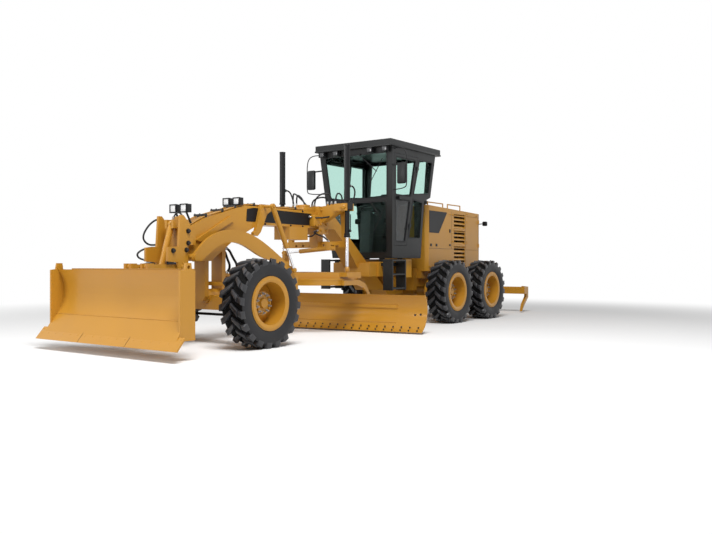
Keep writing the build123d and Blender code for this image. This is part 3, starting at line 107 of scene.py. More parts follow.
floor_mesh = bmesh.new()
bmesh.ops.create_grid(floor_mesh, x_segments=1, y_segments=1, size=70)
floor_data = bpy.data.meshes.new("floor")
floor_mesh.to_mesh(floor_data)
floor_mesh.free()
floor = bpy.data.objects.new("floor", floor_data)
scene.collection.objects.link(floor)
floor_paint = bpy.data.materials.new("floor_white")
floor_paint.use_nodes = True
paint = floor_paint.node_tree
paint.nodes.clear()
paint_out = paint.nodes.new("ShaderNodeOutputMaterial")
paint_mix = paint.nodes.new("ShaderNodeMixShader")
paint_near = paint.nodes.new("ShaderNodeBsdfDiffuse")
paint_near.inputs["Color"].default_value = (0.93, 0.93, 0.93, 1)
paint_far = paint.nodes.new("ShaderNodeEmission")
paint_far.inputs["Strength"].default_value = 1.0
paint_place = paint.nodes.new("ShaderNodeNewGeometry")
paint_length = paint.nodes.new("ShaderNodeVectorMath")
paint_length.operation = "LENGTH"
paint_fade = paint.nodes.new("ShaderNodeMapRange")
paint_fade.interpolation_type = "SMOOTHSTEP"
paint_fade.inputs["From Min"].default_value = 6.5
paint_fade.inputs["From Max"].default_value = 13
paint.links.new(paint_place.outputs["Position"], paint_length.inputs[0])
paint.links.new(paint_length.outputs["Value"], paint_fade.inputs["Value"])
paint.links.new(paint_fade.outputs["Result"], paint_mix.inputs["Fac"])
paint.links.new(paint_near.outputs[0], paint_mix.inputs[1])
paint.links.new(paint_far.outputs[0], paint_mix.inputs[2])
paint.links.new(paint_mix.outputs[0], paint_out.inputs["Surface"])
floor_data.materials.append(floor_paint)

# Paint. The frame, blades, hood, rims and ripper are steel sprayed with a glossy yellow coat.
# The coat is a little uneven and dulled in patches by handling.


def surface_noise_group():
    """A group that gives slow patches and fine grain for any painted or moulded face."""
    group = bpy.data.node_groups.new("surface_wear", "ShaderNodeTree")
    for name in ("Patch Scale", "Grain Scale"):
        group.interface.new_socket(name=name, in_out="INPUT", socket_type="NodeSocketFloat")
    for name in ("Patches", "Grain"):
        group.interface.new_socket(name=name, in_out="OUTPUT", socket_type="NodeSocketFloat")
    given = group.nodes.new("NodeGroupInput")
    result = group.nodes.new("NodeGroupOutput")
    place = group.nodes.new("ShaderNodeTexCoord")
    for name, scale, detail in (("Patches", "Patch Scale", 5), ("Grain", "Grain Scale", 3)):
        noise = group.nodes.new("ShaderNodeTexNoise")
        noise.inputs["Detail"].default_value = detail
        group.links.new(place.outputs["Object"], noise.inputs["Vector"])
        group.links.new(given.outputs[scale], noise.inputs["Scale"])
        group.links.new(noise.outputs["Fac"], result.inputs[name])
    return group


surface_wear = surface_noise_group()


def coated(
    name, dark, light, rough_low, rough_high,
    coat=0.0, metal=0.0, bump=0.02, patch=1.5, grain=220.0, shine=0.5,
):
    """A sprayed, moulded or plated finish whose colour and gloss drift between two values."""
    material = bpy.data.materials.new(name)
    material.use_nodes = True
    tree = material.node_tree
    shader = tree.nodes["Principled BSDF"]
    wear = tree.nodes.new("ShaderNodeGroup")
    wear.node_tree = surface_wear
    wear.inputs["Patch Scale"].default_value = patch
    wear.inputs["Grain Scale"].default_value = grain
    tint = tree.nodes.new("ShaderNodeMix")
    tint.data_type = "RGBA"
    tint.inputs["A"].default_value = (*dark, 1)
    tint.inputs["B"].default_value = (*light, 1)
    gloss = tree.nodes.new("ShaderNodeMapRange")
    gloss.inputs["From Min"].default_value = 0.3
    gloss.inputs["From Max"].default_value = 0.7
    gloss.inputs["To Min"].default_value = rough_low
    gloss.inputs["To Max"].default_value = rough_high
    relief = tree.nodes.new("ShaderNodeBump")
    relief.inputs["Strength"].default_value = bump
    relief.inputs["Distance"].default_value = 0.002
    tree.links.new(wear.outputs["Patches"], tint.inputs["Factor"])
    tree.links.new(tint.outputs["Result"], shader.inputs["Base Color"])
    tree.links.new(wear.outputs["Patches"], gloss.inputs["Value"])
    tree.links.new(gloss.outputs["Result"], shader.inputs["Roughness"])
    tree.links.new(wear.outputs["Grain"], relief.inputs["Height"])
    tree.links.new(relief.outputs["Normal"], shader.inputs["Normal"])
    shader.inputs["Metallic"].default_value = metal
    shader.inputs["Specular IOR Level"].default_value = shine
    shader.inputs["Coat Weight"].default_value = coat
    shader.inputs["Coat Roughness"].default_value = 0.12
    return material


yellow_paint = coated(
    "yellow_paint", (0.43, 0.200, 0.016), (0.51, 0.246, 0.026), 0.30, 0.44, coat=0.2, shine=0.35,
)
charcoal_paint = coated("charcoal_paint", (0.009, 0.010, 0.010), (0.015, 0.016, 0.017), 0.30, 0.44, shine=0.3)
black_paint = coated("black_paint", (0.004, 0.004, 0.005), (0.008, 0.008, 0.009), 0.30, 0.45, shine=0.25)
rubber = coated(
    "rubber", (0.008, 0.008, 0.009), (0.016, 0.016, 0.018), 0.42, 0.60, bump=0.15, patch=4, shine=0.35,
)
chrome = coated("chrome", (0.78, 0.78, 0.80), (0.86, 0.86, 0.88), 0.08, 0.14, metal=1.0, bump=0.0)
seat_cloth = coated("seat_cloth", (0.02, 0.02, 0.022), (0.04, 0.04, 0.043), 0.7, 0.85, bump=0.3, grain=600)
engine_paint = coated("engine_paint", (0.05, 0.05, 0.052), (0.09, 0.09, 0.092), 0.5, 0.65)
slot_finish = {
    "machine_yellow": yellow_paint,
    "tyre_black": rubber,
    "cab_charcoal": charcoal_paint,
    "seat_grey": seat_cloth,
    "engine_grey": engine_paint,
    "black_paint": black_paint,
    "rod_chrome": chrome,
}

# Glass. The cab's fixed panes are flat tempered glass with a slight green tint.
cab_pane = bpy.data.materials.new("cab_pane")
cab_pane.use_nodes = True
pane_shader = cab_pane.node_tree.nodes["Principled BSDF"]
pane_shader.inputs["Base Color"].default_value = (0.70, 0.87, 0.82, 1)
pane_shader.inputs["Roughness"].default_value = 0.02
pane_shader.inputs["Transmission Weight"].default_value = 1.0
pane_shader.inputs["IOR"].default_value = 1.05
slot_finish["cab_glass"] = cab_pane
smoked_pane = bpy.data.materials.new("smoked_pane")
smoked_pane.use_nodes = True
smoked_shader = smoked_pane.node_tree.nodes["Principled BSDF"]
smoked_shader.inputs["Base Color"].default_value = (0.16, 0.17, 0.175, 1)
smoked_shader.inputs["Roughness"].default_value = 0.01
smoked_shader.inputs["Transmission Weight"].default_value = 0.75
smoked_shader.inputs["IOR"].default_value = 1.3

for part in frame["record"]["subparts"]:
    mesh = nodes[part["node"]].data
    mesh.materials.clear()
    mesh.materials.append(slot_finish[part["material_slot"]])

# Tyres. Six wide radial tyres for earth moving: a smooth bulging casing with two staggered rows of
# deep lugs that sweep back from the middle, and a short block between each pair at the shoulder.
# The walls are satin rubber. The grooves between the lugs are dull and painted darker as painted shade, and
# the lugs are painted lighter as a painted highlight on their tops.
# Painted shade: the casing between the lugs is near black, standing in for the shade down in the grooves.
groove_shade_rubber = coated(
    "groove_shade_rubber", (0.001, 0.001, 0.001), (0.003, 0.003, 0.003), 0.7, 0.9, patch=4, shine=0.15,
)
# Painted highlight: the lugs are a lighter grey, standing in for the light that their tops catch.
lug_highlight_rubber = coated(
    "lug_highlight_rubber", (0.012, 0.012, 0.014), (0.030, 0.030, 0.034), 0.30, 0.48, bump=0.2, patch=9, shine=0.5,
)
wall_slot, groove_shade_slot, lug_highlight_slot = range(3)
tyre_r = 0.605
casing_r = 0.562
groove_r = 0.556
lugs_in_row = 20
short_lug_lag = 0.42
wheel_places = {
    "front": (front_axle_x, "wheel_front_"),
    "tandem_front": (front_axle_x - 5.36, "wheel_tandem_front_"),
    "tandem_rear": (front_axle_x - 6.88, "wheel_tandem_rear_"),
}
wheel_middle = 0.990


def add_copy(target, source, matrix):
    """Add a copy of a mesh to a bmesh, moved by a matrix."""
    first = len(target.verts)
    target.from_mesh(source)
    target.verts.ensure_lookup_table()
    bmesh.ops.transform(target, matrix=matrix, verts=target.verts[first:])


def finished(name, form, body, material, smooth=40):
    """Turn a bmesh into a piece that rides on a body."""
    bmesh.ops.recalc_face_normals(form, faces=form.faces)
    data = bpy.data.meshes.new(name)
    form.to_mesh(data)
    form.free()
    data.materials.append(material)
    data.shade_smooth()
    data.set_sharp_from_angle(angle=radians(smooth))
    piece = bpy.data.objects.new(name, data)
    scene.collection.objects.link(piece)
    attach(piece, body)
    return piece


def spun(profile, count):
    """Spin a closed outline of (y, radius) points round the Y axis in a number of steps."""
    form = bmesh.new()
    ring = [form.verts.new((0, y, radius)) for y, radius in profile]
    edges = [form.edges.new((a, b)) for a, b in zip(ring, ring[1:] + ring[:1])]
    bmesh.ops.spin(
        form, geom=ring + edges, cent=(0, 0, 0), axis=(0, 1, 0), angle=2 * pi, steps=count, use_merge=True,
    )
    bmesh.ops.remove_doubles(form, verts=form.verts, dist=1e-5)
    return form


def lug_block(inner, outer, width_in, width_out, sweep, height):
    """A lug at the tyre's front, from one distance off the middle to another, swept down as it goes out."""
    form = bmesh.new()
    bmesh.ops.create_cube(form, size=1)
    for vert in form.verts:
        reach = vert.co.y + 0.5
        width = width_in + (width_out - width_in) * reach
        top = vert.co.x > 0
        vert.co.z = vert.co.z * width * (0.86 if top else 1.1) - sweep * reach
        vert.co.y = inner + (outer - inner) * reach
        vert.co.x = tyre_r - 0.001 if top else casing_r - height
    bmesh.ops.bevel(
        form, geom=form.edges[:], offset=0.005, segments=2, profile=0.5, affect="EDGES", material=-1,
    )
    data = bpy.data.meshes.new("lug")
    form.to_mesh(data)
    form.free()
    return data


def tyre_mesh():
    """One tyre about the origin, with its outer side towards +Y."""
    side = [
        (0.150, 0.345), (0.176, 0.374), (0.190, 0.400), (0.199, 0.450), (0.2, 0.500), (0.194, 0.545),
        (0.184, 0.556), (0.166, casing_r), (0.120, casing_r + 0.003), (0.050, casing_r + 0.005),
    ]
    outline = side + [(-y, radius) for y, radius in reversed(side)]
    form = spun(outline, 108)
    # Casing faces out past groove_r take the painted-shade groove rubber, and the walls keep plain rubber.
    for face in form.faces:
        middle = face.calc_center_median()
        face.material_index = groove_shade_slot if hypot(middle.x, middle.z) > groove_r else wall_slot
    casing_faces = len(form.faces)
    long_lug = lug_block(0.004, 0.126, 0.062, 0.096, 0.104, 0.02)
    short_lug = lug_block(0.136, 0.1965, 0.084, 0.100, 0.030, 0.055)
    pitch = 2 * pi / lugs_in_row
    for row in (0, 1):
        flip = Matrix.Diagonal((1, 1 - 2 * row, 1, 1))
        for index in range(lugs_in_row):
            turn = (index + 0.5 * row) * pitch
            add_copy(form, long_lug, Matrix.Rotation(turn, 4, "Y") @ flip)
            add_copy(form, short_lug, Matrix.Rotation(turn - short_lug_lag * pitch, 4, "Y") @ flip)
    form.faces.ensure_lookup_table()
    # The lugs take the painted-highlight rubber.
    for face in form.faces[casing_faces:]:
        face.material_index = lug_highlight_slot
    bmesh.ops.recalc_face_normals(form, faces=form.faces)
    data = bpy.data.meshes.new("tyre")
    form.to_mesh(data)
    form.free()
    return data


tyre_shape = tyre_mesh()
for place, (axle_x, body_stem) in wheel_places.items():
    for side, out in (("left", 1), ("right", -1)):
        form = bmesh.new()
        add_copy(
            form, tyre_shape,
            Matrix.Translation((axle_x, out * wheel_middle, tyre_r)) @ Matrix.Diagonal((1, out, 1, 1)),
        )
        tyre = finished(f"tyre_{place}_{side}_tread", form, body_stem + side, rubber, smooth=35)
        # The groove and lug finishes carry painted shade and a painted highlight.
        tyre.data.materials.append(groove_shade_rubber)
        tyre.data.materials.append(lug_highlight_rubber)
        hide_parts(f"tyre_{place}_{side}")

# Points are given from the front axle, in metres, and forms are gathered in one bmesh per piece.


def at(x, y, z):
    """A point given from the front axle."""
    return Vector((front_axle_x + x, y, z))


def add_box(form, low, high, edge=0.004):
    """Add a box with rounded edges between two corners."""
    low, high = at(*low), at(*high)
    place = Matrix.Translation((low + high) / 2) @ Matrix.Diagonal((*(high - low), 1))
    made = bmesh.ops.create_cube(form, size=1, matrix=place)
    around = {line for vert in made["verts"] for line in vert.link_edges}
    bmesh.ops.bevel(
        form, geom=list(around), offset=edge, segments=2, profile=0.5, affect="EDGES", material=-1,
    )


def add_rod(form, start, end, radius, far_radius=None, sides=24, edge=0.0):
    """Add a round or many-sided rod between two points."""
    start, end = at(*start), at(*end)
    run = end - start
    place = Matrix.Translation((start + end) / 2) @ run.to_track_quat("Z", "Y").to_matrix().to_4x4()
    made = bmesh.ops.create_cone(
        form, cap_ends=True, segments=sides, radius1=radius, radius2=far_radius or radius,
        depth=run.length, matrix=place,
    )
    if edge:
        rims = {
            line for vert in made["verts"] for line in vert.link_edges
            if any(len(face.verts) == sides for face in line.link_faces)
        }
        bmesh.ops.bevel(
            form, geom=list(rims), offset=edge, segments=2, profile=0.5, affect="EDGES", material=-1,
        )


def add_bolt(form, place, facing, across=0.032):
    """Add a hexagon head on its washer, which stands on a face and points out of it."""
    out = Vector(facing).normalized()
    place = Vector(place)
    seat, neck, top = (tuple(place + out * across * reach) for reach in (-0.05, 0.12, 0.62))
    add_rod(form, seat, neck, across * 0.68, sides=20)
    add_rod(form, neck, top, across * 0.54, sides=6, edge=across * 0.06)


def bolts(name, body, places, facing, across, material=yellow_paint):
    """Put like bolts at several places of one body."""
    form = bmesh.new()
    for place in places:
        add_bolt(form, place, facing, across)
    piece = finished(name, form, body, material)


def steps(first, last, count):
    """Evenly spaced points from one to another."""
    first, last = Vector(first), Vector(last)
    return [tuple(first.lerp(last, index / (count - 1))) for index in range(count)]


def pipe(name, points, diameter, body, material):
    """Lay a round pipe or hose through a list of points as one smooth open spline."""
    data = bpy.data.curves.new(name, "CURVE")
    data.dimensions = "3D"
    spline = data.splines.new("NURBS")
    spline.points.add(len(points) - 1)
    for knot, place in zip(spline.points, points):
        knot.co = (*at(*place), 1)
    spline.order_u = 3
    spline.use_endpoint_u = True
    spline.resolution_u = 8
    data.bevel_depth = diameter / 2
    data.bevel_resolution = 4
    data.use_fill_caps = True
    data.materials.append(material)
    piece = bpy.data.objects.new(name, data)
    scene.collection.objects.link(piece)
    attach(piece, body)
    return piece


def profile_sheet(form, outline, low, high, corner=0.0, ring=0.0):
    """Add an outline in X and Z, from Y low to Y high, with rounded corners, or only a rim along it."""
    verts = [form.verts.new(at(x, low, z)) for x, z in outline]
    face = form.faces.new(verts)
    if corner:
        cut = bmesh.ops.bevel(
            form, geom=verts, offset=corner, segments=5, profile=0.5, affect="VERTICES", material=-1,
        )
        face = max(
            {near for vert in cut["verts"] for near in vert.link_faces}, key=lambda near: near.calc_area(),
        )
    faces = [face]
    if ring:
        form.normal_update()
        rim = bmesh.ops.inset_region(
            form, faces=[face], thickness=ring, use_even_offset=True, use_boundary=True,
        )
        faces = rim["faces"]
        bmesh.ops.delete(form, geom=[face], context="FACES")
    grown = bmesh.ops.extrude_face_region(form, geom=faces)["geom"]
    raised = [part for part in grown if isinstance(part, bmesh.types.BMVert)]
    bmesh.ops.translate(form, vec=(0, high - low, 0), verts=raised)


# Wheel nuts and lock rings. Ten steel studs with flanged nuts hold each hub, a split steel ring
# holds the tyre's outer bead, and the valve stands inside the dish.
steel = coated("bare_steel", (0.34, 0.33, 0.32), (0.48, 0.47, 0.46), 0.25, 0.40, metal=1.0, patch=9)
studs = 10
stud_circle = 0.130
hub_face = wheel_middle + 0.030
ring_form = spun([
    (0.140, 0.3055), (0.158, 0.3055), (0.166, 0.318), (0.166, 0.345), (0.176, 0.352), (0.188, 0.352),
    (0.189, 0.338), (0.186, 0.304), (0.180, 0.2935), (0.140, 0.2935),
], 96)
ring_shape = bpy.data.meshes.new("lock_ring")
ring_form.to_mesh(ring_shape)
ring_form.free()
for place, (axle_x, body_stem) in wheel_places.items():
    for side, out in (("left", 1), ("right", -1)):
        middle_x = axle_x - front_axle_x
        form = bmesh.new()
        for index in range(studs):
            turn = 2 * pi * (index + 0.5) / studs
            x = middle_x + stud_circle * cos(turn)
            z = tyre_r + stud_circle * sin(turn)
            for foot, top, radius, sides, edge in (
                # from the hub's face: stud, nut's flange, nut
                (0, 0.045, 0.0095, 12, 0.002), (0, 0.008, 0.0205, 20, 0), (0.006, 0.026, 0.0155, 6, 0.002),
            ):
                start, end = (x, out * (hub_face + foot), z), (x, out * (hub_face + top), z)
                add_rod(form, start, end, radius, sides=sides, edge=edge)
        piece = finished(f"nuts_{place}_{side}", form, body_stem + side, steel)
        form = bmesh.new()
        add_copy(
            form, ring_shape,
            Matrix.Translation((axle_x, out * wheel_middle, tyre_r)) @ Matrix.Diagonal((1, out, 1, 1)),
        )
        add_rod(
            form, (middle_x + 0.262, out * (wheel_middle + 0.06), tyre_r),
            (middle_x + 0.272, out * (wheel_middle + 0.12), tyre_r), 0.006, sides=10, edge=0.001,
        )
        piece = finished(f"lock_ring_{place}_{side}", form, body_stem + side, yellow_paint, smooth=30)

# Dozer blade's cutting edge. Three lengths of hard steel are bolted along the blade's foot by two
# rows of plough bolts, whose low heads lie almost flush, and the seams between them show.
dark_metal = coated("dark_metal", (0.020, 0.019, 0.018), (0.045, 0.042, 0.040), 0.35, 0.55, metal=0.6)
edge_out = Vector((152, 0, 123)).normalized()
form = bmesh.new()
for row_x, row_z in ((1.738, 0.270), (1.776, 0.223)):
    for place in steps((row_x, -1.36, row_z), (row_x, 1.36, row_z), 18):
        foot, top = (tuple(Vector(place) + edge_out * reach) for reach in (-0.004, 0.005))
        add_rod(form, foot, top, 0.017, 0.013, sides=20, edge=0.001)
piece = finished("dozer_edge_bolts", form, "dozer_blade", yellow_paint)
form = bmesh.new()
for seam_y in (-0.47, 0.47):
    add_rod(form, (1.722, seam_y, 0.293), (1.849, seam_y, 0.1415), 0.0022, sides=8)
piece = finished("dozer_edge_seams", form, "dozer_blade", dark_metal)
form = bmesh.new()
for side in (1, -1):
    add_rod(form, (1.57, side * 1.262, 1.10), (1.57, side * 1.268, 1.10), 0.044, sides=32)
add_rod(form, (1.6205, -1.269, 0.4705), (1.6205, 1.269, 0.4705), 0.006, sides=12)
piece = finished("dozer_foot_weld", form, "dozer_blade", yellow_paint)

# Moldboard's edges. A bolted cutting edge runs along the foot, and end bits close its two ends.
board_yaw = radians(6.5)
board_behind = 0.3135
board_turn = Matrix.Translation(at(-2.45, 0, 0)) @ Matrix.Rotation(board_yaw, 4, "Z")
board_home = Matrix.Translation(at(0, 0, 0)).inverted() @ board_turn
board_shift = board_behind * tan(board_yaw)
edge_bolts = 24
edge_bolt_run = 3.48
form = bmesh.new()
out = (board_turn.to_3x3() @ Vector((0.68, 0, 0.73))).normalized()
for index in range(edge_bolts):
    y = edge_bolt_run * (index / (edge_bolts - 1) - 0.5) + board_shift
    for x, z in ((-0.216, 0.062), (-0.268, 0.108)):
        seat = board_home @ Vector((x, y, z))
        foot, top = tuple(seat - out * 0.006), tuple(seat + out * 0.004)
        add_rod(form, foot, top, 0.015, 0.012, sides=18, edge=0.001)
out = (board_turn.to_3x3() @ Vector((1, 0, 0))).normalized()
for y, z in ((1.62, 0.30), (1.72, 0.31), (1.70, 0.22)):
    seat = board_home @ Vector((-0.4085, y + board_shift, z))
    foot, top = tuple(seat - out * 0.004), tuple(seat + out * 0.006)
    add_rod(form, foot, top, 0.018, 0.014, sides=18, edge=0.001)
piece = finished("moldboard_bolts", form, "board", dark_metal)

# Dozer tower. Heavy bolts clamp its side plates to the nose, and pins with keeper plates carry the arms.
tower_bolt_places = [(0.63, 1.583), (0.63, 1.421), (0.66, 1.327), (0.89, 1.316)]
for side, name in ((1, "left"), (-1, "right")):
    places = [(x, side * 0.24, z) for x, z in tower_bolt_places]
    bolts(f"tower_bolts_{name}", "front", places, (0, side, 0), 0.05, dark_metal)
form = bmesh.new()
for side in (1, -1):
    for x, z, radius in ((0.72, 0.70, 0.04), (0.72, 1.10, 0.034)):
        add_rod(form, (x, side * 0.238, z), (x, side * 0.252, z), radius, sides=32, edge=0.003)
        add_box(
            form, (x - 0.012, min(side * 0.238, side * 0.248), z + radius * 0.6),
            (x + 0.012, max(side * 0.238, side * 0.248), z + radius * 0.6 + 0.05), 0.002,
        )
piece = finished("tower_pins", form, "front", yellow_paint)

# Lamps. Square work lamps in black bezels. The beam's four have clear lenses, the roof's four
# smoked ones.
lens_glass = coated("lens_glass", (0.72, 0.74, 0.75), (0.82, 0.84, 0.85), 0.06, 0.12, coat=0.6, grain=60)
smoked_lens = coated(
    "smoked_lens", (0.030, 0.032, 0.034), (0.050, 0.052, 0.055), 0.06, 0.12, coat=0.8, grain=60,
)
lamp_faces = [
    # front face, middle across, middle up, half width, half height
    (0.590, 0.105, 1.9025, 0.065, 0.0575), (0.590, -0.105, 1.9025, 0.065, 0.0575),
    (-0.425, 0.105, 2.066, 0.065, 0.054), (-0.425, -0.105, 2.066, 0.065, 0.054),
    (-3.485, 0.38, 3.1775, 0.06, 0.0475), (-3.485, -0.38, 3.1775, 0.06, 0.0475),
    (-3.485, 0.70, 3.1775, 0.06, 0.0475), (-3.485, -0.70, 3.1775, 0.06, 0.0475),
]
for name, faces, lens in (("beam", lamp_faces[:4], lens_glass), ("roof", lamp_faces[4:], smoked_lens)):
    form = bmesh.new()
    for x, y, z, half, high in faces:
        add_box(
            form, (x - 0.004, y - half + 0.014, z - high + 0.012),
            (x + 0.006, y + half - 0.014, z + high - 0.012), 0.003,
        )
    piece = finished(f"{name}_lamp_lenses", form, "front", lens)
form = bmesh.new()
for x, y, z, half, high in lamp_faces:
    for low, top in (
        ((y - half - 0.003, z - high - 0.003), (y + half + 0.003, z - high + 0.013)),
        ((y - half - 0.003, z + high - 0.013), (y + half + 0.003, z + high + 0.003)),
        ((y - half - 0.003, z - high), (y - half + 0.015, z + high)),
        ((y + half - 0.015, z - high), (y + half + 0.003, z + high)),
    ):
        add_box(form, (x - 0.02, *low), (x + 0.012, *top), 0.003)
piece = finished("lamp_bezels", form, "front", black_paint)

# Gooseneck. Plain dark panels are let into both flanks, steel oil pipes run along the top in clips,
# and a valve block sits ahead of the lift cylinders.
for side, name in ((1, "left"), (-1, "right")):
    form = bmesh.new()
    near = 0.1495 if side > 0 else -0.1535
    profile_sheet(
        form, [(-0.60, 1.960), (-0.585, 1.775), (-2.13, 1.775), (-2.13, 1.968), (-0.75, 1.985)],
        near, near + 0.004, corner=0.012,
    )
    piece = finished(f"flank_panel_{name}", form, "front", black_paint)
pipe_paint = coated("pipe_paint", (0.36, 0.17, 0.020), (0.46, 0.23, 0.034), 0.20, 0.32, coat=0.3, shine=0.4)
pipe_lift = 0.016
pipe_line = [
    (0.50, 1.655), (0.44, 1.69), (0.25, 1.785), (0.0, 1.855), (-0.30, 1.935), (-0.56, 2.015), (-0.75, 2.018),
    (-1.60, 2.014), (-2.20, 2.014),
]
pipe_runs = {
    "pipe_top_1": (0.045, 0.016), "pipe_top_2": (0.080, 0.016), "pipe_top_3": (0.115, 0.020),
    "pipe_top_4": (-0.045, 0.016), "pipe_top_5": (-0.085, 0.020),
}
for name, (y, diameter) in pipe_runs.items():
    piece = pipe(name, [(x, y, z + pipe_lift) for x, z in pipe_line], diameter, "front", pipe_paint)
form = bmesh.new()
for x, z in ((0.20, 1.80), (-0.12, 1.888), (-0.38, 1.958), (-0.78, 2.010), (-1.25, 2.010), (-1.75, 2.010)):
    add_box(form, (x - 0.02, -0.105, z), (x + 0.02, 0.135, z + 0.045), 0.004)
    for y in (0.0, 0.128, -0.098):
        add_bolt(form, (x, y, z + 0.044), (0, 0, 1), 0.018)
piece = finished("pipe_clips", form, "front", dark_metal)
form = bmesh.new()
add_box(form, (-2.235, 0.150, 1.76), (-2.08, 0.245, 1.95), 0.006)
add_box(form, (-2.22, -0.13, 2.010), (-1.95, 0.13, 2.075), 0.006)
add_box(form, (-2.16, -0.08, 2.07), (-2.02, 0.10, 2.12), 0.006)
for x, y in ((-2.18, 0.06), (-2.18, -0.06), (-2.0, 0.06), (-2.0, -0.06)):
    add_rod(form, (x, y, 2.07), (x, y, 2.10), 0.02, sides=6, edge=0.002)
for x in (-2.20, -2.115):
    for z in (1.79, 1.92):
        add_bolt(form, (x, 0.245, z), (0, 1, 0), 0.026)
piece = finished("valve_block", form, "front", yellow_paint)
for y, side_name in ((0.154, "left"), (-0.154, "right")):
    out = 1 if y > 0 else -1
    bolts(
        f"beam_bolts_{side_name}", "front",
        [(x, y - out * 0.004, z) for x, z in (
            (-1.90, 1.752), (-1.60, 1.752), (-1.30, 1.752), (-1.00, 1.752), (-0.95, 1.996), (-1.90, 1.996),
        )],
        (0, out, 0), 0.024, dark_metal,
    )

# Saddle. Bolted caps close it round the beam, and hose unions stand on the arms' tops.
form = bmesh.new()
for side in (1, -1):
    for x in (-2.45, -2.31):
        for z in (1.70, 1.80, 1.93, 2.04):
            add_bolt(form, (x, side * 0.21, z), (0, side, 0), 0.034)
    for x in (-2.478, -2.282):
        out = 1 if x > -2.38 else -1
        cap = (x + out * 0.028, side * 0.70, 2.08)
        add_rod(form, (x, side * 0.70, 2.08), cap, 0.045, sides=32, edge=0.003)
        for y in (-0.035, 0.035):
            add_bolt(form, (x + out * 0.026, side * 0.70 + y * 0.7, 2.08), (out, 0, 0), 0.016)
    for y in (0.30, 0.38, 0.46):
        add_rod(form, (-2.38, side * y, 2.10), (-2.38, side * y, 2.136), 0.019, sides=6, edge=0.002)
piece = finished("saddle_bolts", form, "front", yellow_paint)

# Cylinder glands and unions. Each barrel ends in a black gland ring, and an elbow feeds each end.
for side, name in ((1, "left"), (-1, "right")):
    form = bmesh.new()
    y = side * 0.70
    add_rod(form, (-2.38, y, 1.575), (-2.38, y, 1.60), 0.056, sides=40, edge=0.004)
    add_rod(form, (-2.38, y, 3.075), (-2.38, y, 3.095), 0.053, sides=40, edge=0.004)
    add_rod(form, (-2.38, y, 2.176), (-2.38, y, 2.20), 0.056, sides=40, edge=0.004)
    add_box(form, (-2.46, y - 0.022, 2.40), (-2.42, y + 0.022, 2.45), 0.004)
    add_box(
        form, (-2.396, y + side * 0.060 - 0.018, 1.66), (-2.364, y + side * 0.060 + 0.018, 1.70), 0.004,
    )
    piece = finished(f"lift_gland_{name}", form, f"lift_barrel_{name}", black_paint)
    piece = pipe(
        f"lift_pipe_{name}",
        [
            (-2.38, y + side * 0.055, 1.68), (-2.38, y + side * 0.068, 1.70), (-2.38, y + side * 0.068, 1.80),
            (-2.38, y + side * 0.068, 1.95),
        ],
        0.016, f"lift_barrel_{name}", black_paint,
    )

